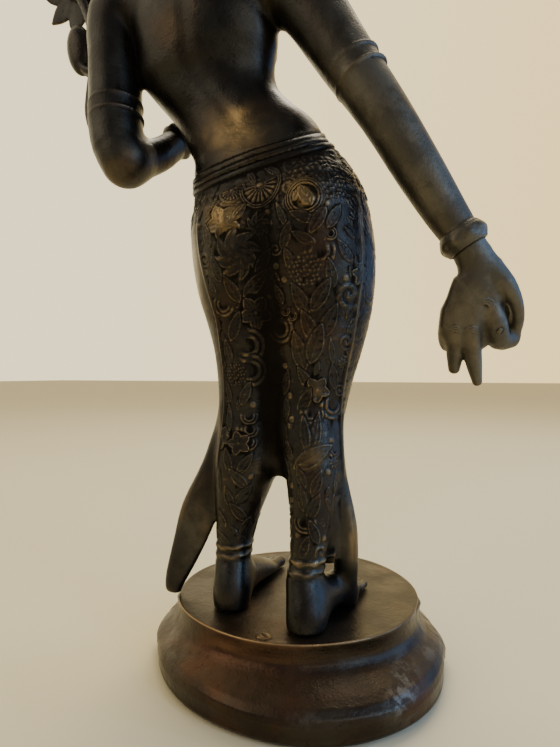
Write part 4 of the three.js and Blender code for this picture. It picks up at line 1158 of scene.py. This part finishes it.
def build_plinth():
    around = 480
    along = 200
    profile = np.array(PLINTH_PROFILE, float)
    steps = np.hypot(np.diff(profile[:, 0]), np.diff(profile[:, 1]))
    weight = np.where((profile[:-1, 0] < 45) & (profile[1:, 0] < 45), 0.35, 1.0)
    reach = np.concatenate([[0], np.cumsum(steps * weight)])
    at = np.linspace(0, reach[-1], along)
    radius, height, share = (np.interp(at, reach, profile[:, i]) for i in range(3))
    turn = np.arange(around) * 2 * math.pi / around
    r, a = np.meshgrid(radius[1:-1], turn, indexing="ij")
    z = np.repeat(height[1:-1, None], around, 1)
    s = np.repeat(share[1:-1, None], around, 1)
    # petals: two rows of pointed leaves whose tips lean outwards
    pitch = math.radians(PETAL_SPAN / PETAL_COUNT)
    first = math.radians(PETAL_MIDDLE - PETAL_SPAN / 2)
    step = (a - first) % (2 * math.pi)
    in_arc = step < math.radians(PETAL_SPAN)
    swing = (step % pitch) / pitch * 2 - 1
    outer = r > 48
    ends = soft_step(np.minimum(step, math.radians(PETAL_SPAN) - step) - math.radians(8), math.radians(8))
    upper = petal_swell(swing, (z - 18.6) / 11.0) * np.clip((z - 18.2) / 1.2, 0, 1) * (s > 0.5)
    lower = petal_swell(swing, (16.6 - z) / 13.2) * np.clip((17.4 - z) / 1.2, 0, 1) * (s < 0.7) * (z > 1.4)
    r = r + np.where(in_arc & outer, (upper * np.clip((29.0 - z) / 2.5, 0, 1) + lower * 0.8) * ends, 0)
    r = r + (0.35 * np.sin(3 * a + 0.6) + 0.2 * np.sin(7 * a + z * 0.3)) * outer
    x, y = r * np.cos(a), r * np.sin(a)

    def oval(x, y, wide, deep, azimuth):
        c, t = math.cos(azimuth), math.sin(azimuth)
        u, v = (x * c + y * t) * wide, (-x * t + y * c) * deep
        return u * c - v * t, u * t + v * c

    lx, ly = oval(x, y, 1 + TIER_OVAL, 1 - TIER_OVAL, TIER_AZIMUTH)
    ux, uy = oval(x, y, DRUM_WIDE, DRUM_DEEP, DRUM_AZIMUTH)
    x = lx * (1 - s) + (ux + DRUM_SHIFT[0]) * s
    y = ly * (1 - s) + (uy + DRUM_SHIFT[1]) * s
    z = z + 0.0
    plug = np.clip(1 - ((np.hypot(x + 3.5, y - 49.4) - 2.35) / 0.35), 0, 1) * 0.8
    slot = np.clip(1 - np.abs((x + 3.5) * 0.5 + (y - 49.4) * 0.86) / 0.5, 0, 1) * 0.5
    on_top = (s > 0.9) & (z > 29) & (r < 55)
    z = z + np.where(on_top, plug * (1 - slot) + 0.12 * np.sin(x * 0.21 + 1) * np.sin(y * 0.17), 0)
    rows = len(radius) - 2
    verts = np.stack([x.ravel(), y.ravel(), z.ravel()], 1)
    verts = np.concatenate([verts, [[0, 0, 0], [DRUM_SHIFT[0], DRUM_SHIFT[1], PLINTH_TOP]]])
    i = np.arange(rows - 1)[:, None] * around
    j = np.arange(around)[None, :]
    k = (j + 1) % around
    quads = np.stack([i + j, i + k, i + around + k, i + around + j], -1).reshape(-1, 4)
    bottom, top = rows * around, rows * around + 1
    caps = []
    for q in range(0, around, 2):
        a0, a1, a2 = q, (q + 1) % around, (q + 2) % around
        caps.append([bottom, a2, a1, a0])
        base = (rows - 1) * around
        caps.append([top, base + a0, base + a1, base + a2])
    return verts, np.concatenate([quads, caps])


plinth_verts, plinth_quads = build_plinth()
if volume(plinth_verts, plinth_quads) < 0:
    plinth_quads = plinth_quads[:, ::-1]
plinth = as_mesh("lotus_plinth", plinth_verts - STAND, plinth_quads)

# ---------------------------------------------------------------- bronze


def bronze(name, dark, olive, red, gold, copper, pale_dust_and_light, dust, pale_noise, pale_noise_low):
    """Dark patinated bronze: patches of olive and red, painted black shade in hollows, golden metal on abraded ridges
    that also serves as a painted highlight, copper patches of abraded metal and painted highlights, and pale patches of
    dust and painted light.
    """
    material = bpy.data.materials.new(name)
    material.use_nodes = True
    nodes, links = material.node_tree.nodes, material.node_tree.links
    shader = nodes["Principled BSDF"]
    place = nodes.new("ShaderNodeTexCoord").outputs["Object"]

    def noise(scale, detail=3.0, rough=0.55, stretch=None):
        node = nodes.new("ShaderNodeTexNoise")
        node.inputs["Scale"].default_value = scale
        node.inputs["Detail"].default_value = detail
        node.inputs["Roughness"].default_value = rough
        if stretch:
            mapping = nodes.new("ShaderNodeMapping")
            mapping.inputs["Scale"].default_value = stretch
            mapping.inputs["Rotation"].default_value = (0.4, 0.9, 0.3)
            links.new(place, mapping.inputs["Vector"])
            links.new(mapping.outputs["Vector"], node.inputs["Vector"])
        else:
            links.new(place, node.inputs["Vector"])
        return node.outputs["Fac"]

    def number(key):
        node = nodes.new("ShaderNodeAttribute")
        node.attribute_name = key
        return node.outputs["Fac"]

    def ramp(value, low, high, bottom=0.0, top=1.0):
        node = nodes.new("ShaderNodeMapRange")
        node.interpolation_type = "SMOOTHSTEP"
        for socket, setting in (("From Min", low), ("From Max", high), ("To Min", bottom), ("To Max", top)):
            node.inputs[socket].default_value = setting
        links.new(value, node.inputs["Value"])
        return node.outputs["Result"]

    def mix(share, a, b):
        node = nodes.new("ShaderNodeMix")
        node.data_type = "RGBA"
        links.new(share, node.inputs["Factor"])
        for socket, value in ((6, a), (7, b)):
            if isinstance(value, tuple):
                node.inputs[socket].default_value = (*value, 1)
            else:
                links.new(value, node.inputs[socket])
        return node.outputs[2]

    def math_node(kind, a, b):
        node = nodes.new("ShaderNodeMath")
        node.operation = kind
        for socket, value in enumerate((a, b)):
            if isinstance(value, (int, float)):
                node.inputs[socket].default_value = value
            else:
                links.new(value, node.inputs[socket])
        return node.outputs[0]

    hollow_shade, wear_and_highlight, rubbed_and_highlight, dust_and_light = number("hollow_shade"), number("wear_and_highlight"), number("rubbed_and_highlight"), number("dust_and_light")
    color = mix(ramp(noise(38, 4), 0.42, 0.62), dark, olive)
    color = mix(ramp(noise(22, 3), 0.5, 0.68, 0, 0.85), color, red)
    speckle = ramp(noise(420, 2), 0.6, 0.72, 0, 0.5)
    color = mix(speckle, color, tuple(0.5 * c for c in dark))
    # Gold on ridges: abraded metal that also serves as a painted highlight, and a painted highlight along the plinth's
    # front rim.
    shown = ramp(math_node("ADD", wear_and_highlight, math_node("MULTIPLY", noise(90, 3), 0.35)), 0.3, 0.95, 0, 0.8)
    # Copper patches: metal abraded by handling, and painted highlights such as the broad sheen and the glint at the
    # small of the back.
    copper_patch = math_node("MULTIPLY", rubbed_and_highlight, ramp(noise(120, 5), 0.3, 0.7, 0.55, 1.0))
    # Pale patches: dust and corrosion, and painted light on the arms, the skirt's tails and its plain left panel.
    pale = math_node("MULTIPLY", dust_and_light, ramp(noise(*pale_noise), 0.42, 0.6, pale_noise_low, 1.0))
    color = mix(ramp(pale, 0.0, 1.0, 0, 1.0), color, pale_dust_and_light)
    color = mix(ramp(copper_patch, 0.0, 1.0, 0, 0.9), color, copper)
    shown = math_node("MULTIPLY", shown, ramp(rubbed_and_highlight, 0.0, 0.5, 0.7, 1.0))
    color = mix(shown, color, gold)
    facing = nodes.new("ShaderNodeSeparateXYZ")
    links.new(nodes.new("ShaderNodeNewGeometry").outputs["Normal"], facing.inputs["Vector"])
    flat = math_node("MULTIPLY", ramp(facing.outputs["Z"], 0.8, 0.97), ramp(noise(45, 4), 0.25, 0.6, 0.5, 1.0))
    flat = math_node("MULTIPLY", flat, dust)
    color = mix(flat, color, (0.042, 0.037, 0.027))
    # Painted shade: hollows, the skirt's cleft and the belt's grooves are darkened towards black.
    color = mix(ramp(hollow_shade, 0.08, 0.7, 0, 0.92), color, (0.006, 0.0045, 0.003))
    links.new(color, shader.inputs["Base Color"])
    shader.inputs["Metallic"].default_value = 0.92
    rough = math_node("ADD", ramp(noise(60, 4), 0.3, 0.7, 0.26, 0.42), ramp(hollow_shade, 0.1, 0.6, 0, 0.3))
    rough = math_node("ADD", rough, math_node("MULTIPLY", flat, 0.22))
    rough = math_node("ADD", rough, math_node("MULTIPLY", dust_and_light, 0.16))
    links.new(rough, shader.inputs["Roughness"])
    grain = math_node("ADD", math_node("MULTIPLY", noise(900, 3, 0.6), 0.5), math_node("MULTIPLY", noise(160, 3), 1.0))
    bump_node = nodes.new("ShaderNodeBump")
    bump_node.inputs["Strength"].default_value = 0.45
    bump_node.inputs["Distance"].default_value = 0.0006
    links.new(grain, bump_node.inputs["Height"])
    links.new(bump_node.outputs["Normal"], shader.inputs["Normal"])
    return material


# patches in the picture: x, y, width, height, strength
# Copper patches: metal abraded by handling, and painted highlights at the small of the back, on the knuckles and on the
# plinth's face.
RUBBED_AND_HIGHLIGHT_SKIRT = [(224, 216, 18, 18, 1.0), (303, 192, 16, 15, 1.0), (262, 190, 18, 14, 0.25), (316, 392, 10, 10, 0.35),
                (312, 458, 16, 14, 0.35), (300, 330, 26, 40, 0.15), (245, 430, 8, 34, 0.2)]
RUBBED_AND_HIGHLIGHT_TORSO = [(238, 132, 38, 26, 0.7), (242, 114, 12, 10, 0.5), (454, 340, 7, 12, 0.3), (474, 342, 7, 14, 0.3),
                (489, 312, 9, 14, 0.25), (170, 30, 26, 40, 0.2)]
RUBBED_AND_HIGHLIGHT_PLINTH = [(255, 645, 60, 6, 1.0), (290, 690, 60, 26, 0.45), (240, 662, 60, 24, 0.3)]
# Pale patches: corrosion, dust and drips on the plinth; painted light on the skirt's tails, its plain left panel, the
# left arm and the plinth's left edge.
DUST_AND_LIGHT_SKIRT = [(195, 540, 26, 70, 0.6), (352, 540, 18, 60, 0.5), (330, 160, 26, 14, 0.3), (208, 260, 9, 60, 0.5)]
DUST_AND_LIGHT_TORSO = [(120, 150, 36, 60, 0.35)]
DUST_AND_LIGHT_PLINTH = [(403, 690, 16, 32, 1.0), (430, 648, 9, 14, 0.6), (172, 640, 16, 40, 0.35), (310, 718, 30, 10, 0.4)]


def cleft(verts):
    """The deep shade between the two halves of the skirt."""
    x, y, z = verts.T
    return 0.6 * bump(x - 3, 7.5) * soft_step(y - 14, 10) * between(z, 92, 214, 16)


def belt_groove_shade(verts):
    """Painted shade in the grooves between the folds of the belt, with thin dark lines for its wrinkles."""
    rise = belt_rise(verts) + 0.35 * roughness_noise(verts * [1, 1, 0.5], 16.0, 21)
    near = np.abs(rise / BELT["pitch"] - 0.5 - np.round(rise / BELT["pitch"] - 0.5)) * BELT["pitch"]
    half = BELT["cords"] * BELT["pitch"] / 2
    thin = 0.35 * (np.abs(np.sin(rise * 2.6 + roughness_noise(verts, 9.0, 22))) < 0.2)
    arm = verts[:, 0] < -28 - np.maximum(240 - verts[:, 2], 0) * 0.44
    return (~arm) * (np.abs(rise) < half + 0.6) * (0.95 * bump(near, 0.45) + thin)


def skirt_shade(verts):
    return cleft(verts) + belt_groove_shade(verts)


def belt_calm(verts):
    """The belt and the feet shine less on their ridges."""
    return (1 - 0.8 * soft_step(7 - np.abs(belt_rise(verts)), 2)) * (1 - 0.75 * soft_step(52 - verts[:, 2], 6))


def rim_line(verts, normals):
    """Where the edge of the plinth's top is abraded to the metal, with a painted highlight along its front, placed by
    where it falls in the picture.
    """
    x, _, _ = picture(verts)
    edge = between(normals[:, 2], 0.25, 0.92, 0.1) * (verts[:, 2] > 28.4)
    return edge * (0.1 + 1.1 * between(x, 200, 320, 50))


paint(skirt, 8, 0.5, 0.36, RUBBED_AND_HIGHLIGHT_SKIRT, DUST_AND_LIGHT_SKIRT, skirt_shade, belt_calm)
paint(torso, 8, 0.8, 0.5, RUBBED_AND_HIGHLIGHT_TORSO, DUST_AND_LIGHT_TORSO, belt_groove_shade, belt_calm)
paint(head, 9, 0.6, 0.45)
paint(plinth, 10, 1.2, 0.6, RUBBED_AND_HIGHLIGHT_PLINTH, DUST_AND_LIGHT_PLINTH, rim=rim_line)
# The copper colour serves the abraded patches and their painted highlights; the pale colour after it serves dust,
# corrosion and painted light.
figure_bronze = bronze("figure_bronze", (0.025, 0.022, 0.019), (0.036, 0.035, 0.031), (0.046, 0.030, 0.021),
                       (0.30, 0.215, 0.11), (0.33, 0.225, 0.098), (0.118, 0.107, 0.083), 0.3, (55, 5, 0.65), 0.6)
plinth_bronze = bronze("plinth_bronze", (0.040, 0.029, 0.020), (0.050, 0.040, 0.028), (0.075, 0.036, 0.021),
                       (0.46, 0.31, 0.155), (0.13, 0.070, 0.040), (0.155, 0.140, 0.115), 0.45, (150, 5, 0.7), 0.1)
for piece in (skirt, torso, head):
    piece.data.materials.append(figure_bronze)
    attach(piece, "root")
    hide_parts("figure")
plinth.data.materials.append(plinth_bronze)
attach(plinth, "root")
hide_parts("plinth")

# ---------------------------------------------------------------- floor and light

bpy.ops.mesh.primitive_plane_add(size=16, location=(0, 0, 0))
floor = bpy.context.object
floor.name = "floor"
floor_material = bpy.data.materials.new("floor")
floor_material.use_nodes = True
floor_material.node_tree.nodes["Principled BSDF"].inputs["Base Color"].default_value = (0.78, 0.69, 0.45, 1)
floor_material.node_tree.nodes["Principled BSDF"].inputs["Roughness"].default_value = 0.75
floor.data.materials.append(floor_material)


def studio_world(wall, warm, window, room):
    """A pale wall ahead of the camera and a dimmer room behind it, with a soft change between them."""
    world = bpy.data.worlds.new("world")
    bpy.context.scene.world = world
    world.use_nodes = True
    nodes, links = world.node_tree.nodes, world.node_tree.links
    ahead = nodes.new("ShaderNodeVectorMath")
    ahead.operation = "DOT_PRODUCT"
    ahead.inputs[1].default_value = LOOK
    links.new(nodes.new("ShaderNodeTexCoord").outputs["Generated"], ahead.inputs[0])
    share = nodes.new("ShaderNodeMapRange")
    share.interpolation_type = "SMOOTHSTEP"
    share.inputs["From Min"].default_value, share.inputs["From Max"].default_value = -0.3, 0.75
    links.new(ahead.outputs["Value"], share.inputs["Value"])
    mix = nodes.new("ShaderNodeMix")
    mix.data_type = "RGBA"
    mix.inputs[6].default_value = (*room, 1)
    links.new(share.outputs["Result"], mix.inputs["Factor"])
    side = nodes.new("ShaderNodeVectorMath")
    side.operation = "DOT_PRODUCT"
    side.inputs[1].default_value = tuple(RIGHT_DIR)
    links.new(nodes.new("ShaderNodeTexCoord").outputs["Generated"], side.inputs[0])
    tint = nodes.new("ShaderNodeMapRange")
    tint.inputs["From Min"].default_value, tint.inputs["From Max"].default_value = -0.3, 0.45
    links.new(side.outputs["Value"], tint.inputs["Value"])
    blend = nodes.new("ShaderNodeMix")
    blend.data_type = "RGBA"
    blend.inputs[6].default_value, blend.inputs[7].default_value = (*wall, 1), (*warm, 1)
    links.new(tint.outputs["Result"], blend.inputs["Factor"])
    far = nodes.new("ShaderNodeMapRange")
    far.interpolation_type = "SMOOTHSTEP"
    far.inputs["From Min"].default_value, far.inputs["From Max"].default_value = 0.5, 0.8
    links.new(side.outputs["Value"], far.inputs["Value"])
    sky = nodes.new("ShaderNodeMix")
    sky.data_type = "RGBA"
    sky.inputs[7].default_value = (*window, 1)
    links.new(far.outputs["Result"], sky.inputs["Factor"])
    links.new(blend.outputs[2], sky.inputs[6])
    links.new(sky.outputs[2], mix.inputs[7])
    links.new(mix.outputs[2], nodes["Background"].inputs["Color"])


studio_world(wall=(1.75, 1.50, 0.94), warm=(1.75, 1.30, 0.58), window=(0.26, 0.44, 0.85),
             room=(0.21, 0.21, 0.215))


def area(name, at, width, height, energy, color):
    """A soft light that faces the figure."""
    data = bpy.data.lights.new(name, "AREA")
    data.shape, data.size, data.size_y = "RECTANGLE", width, height
    data.energy, data.color = energy, color
    light = bpy.data.objects.new(name, data)
    bpy.context.scene.collection.objects.link(light)
    light.location = at
    light.rotation_euler = (Vector((0, 0, 0.2)) - Vector(at)).to_track_quat("-Z", "Y").to_euler()


area("key", (0.8, 0.8, 0.9), 0.9, 0.9, 4.0, (1.0, 0.86, 0.64))
area("window", (-1.05, -0.4, 0.5), 0.6, 0.9, 5.5, (0.26, 0.50, 1.0))
area("door", (-1.15, 0.35, 0.6), 0.35, 0.9, 6.0, (0.34, 0.58, 1.0))
area("room", (-0.9, 1.0, 0.7), 1.0, 0.7, 2.4, (1.0, 0.95, 0.88))
area("top", (0.1, -0.6, 1.5), 0.9, 0.9, 12.0, (1.0, 0.95, 0.85))
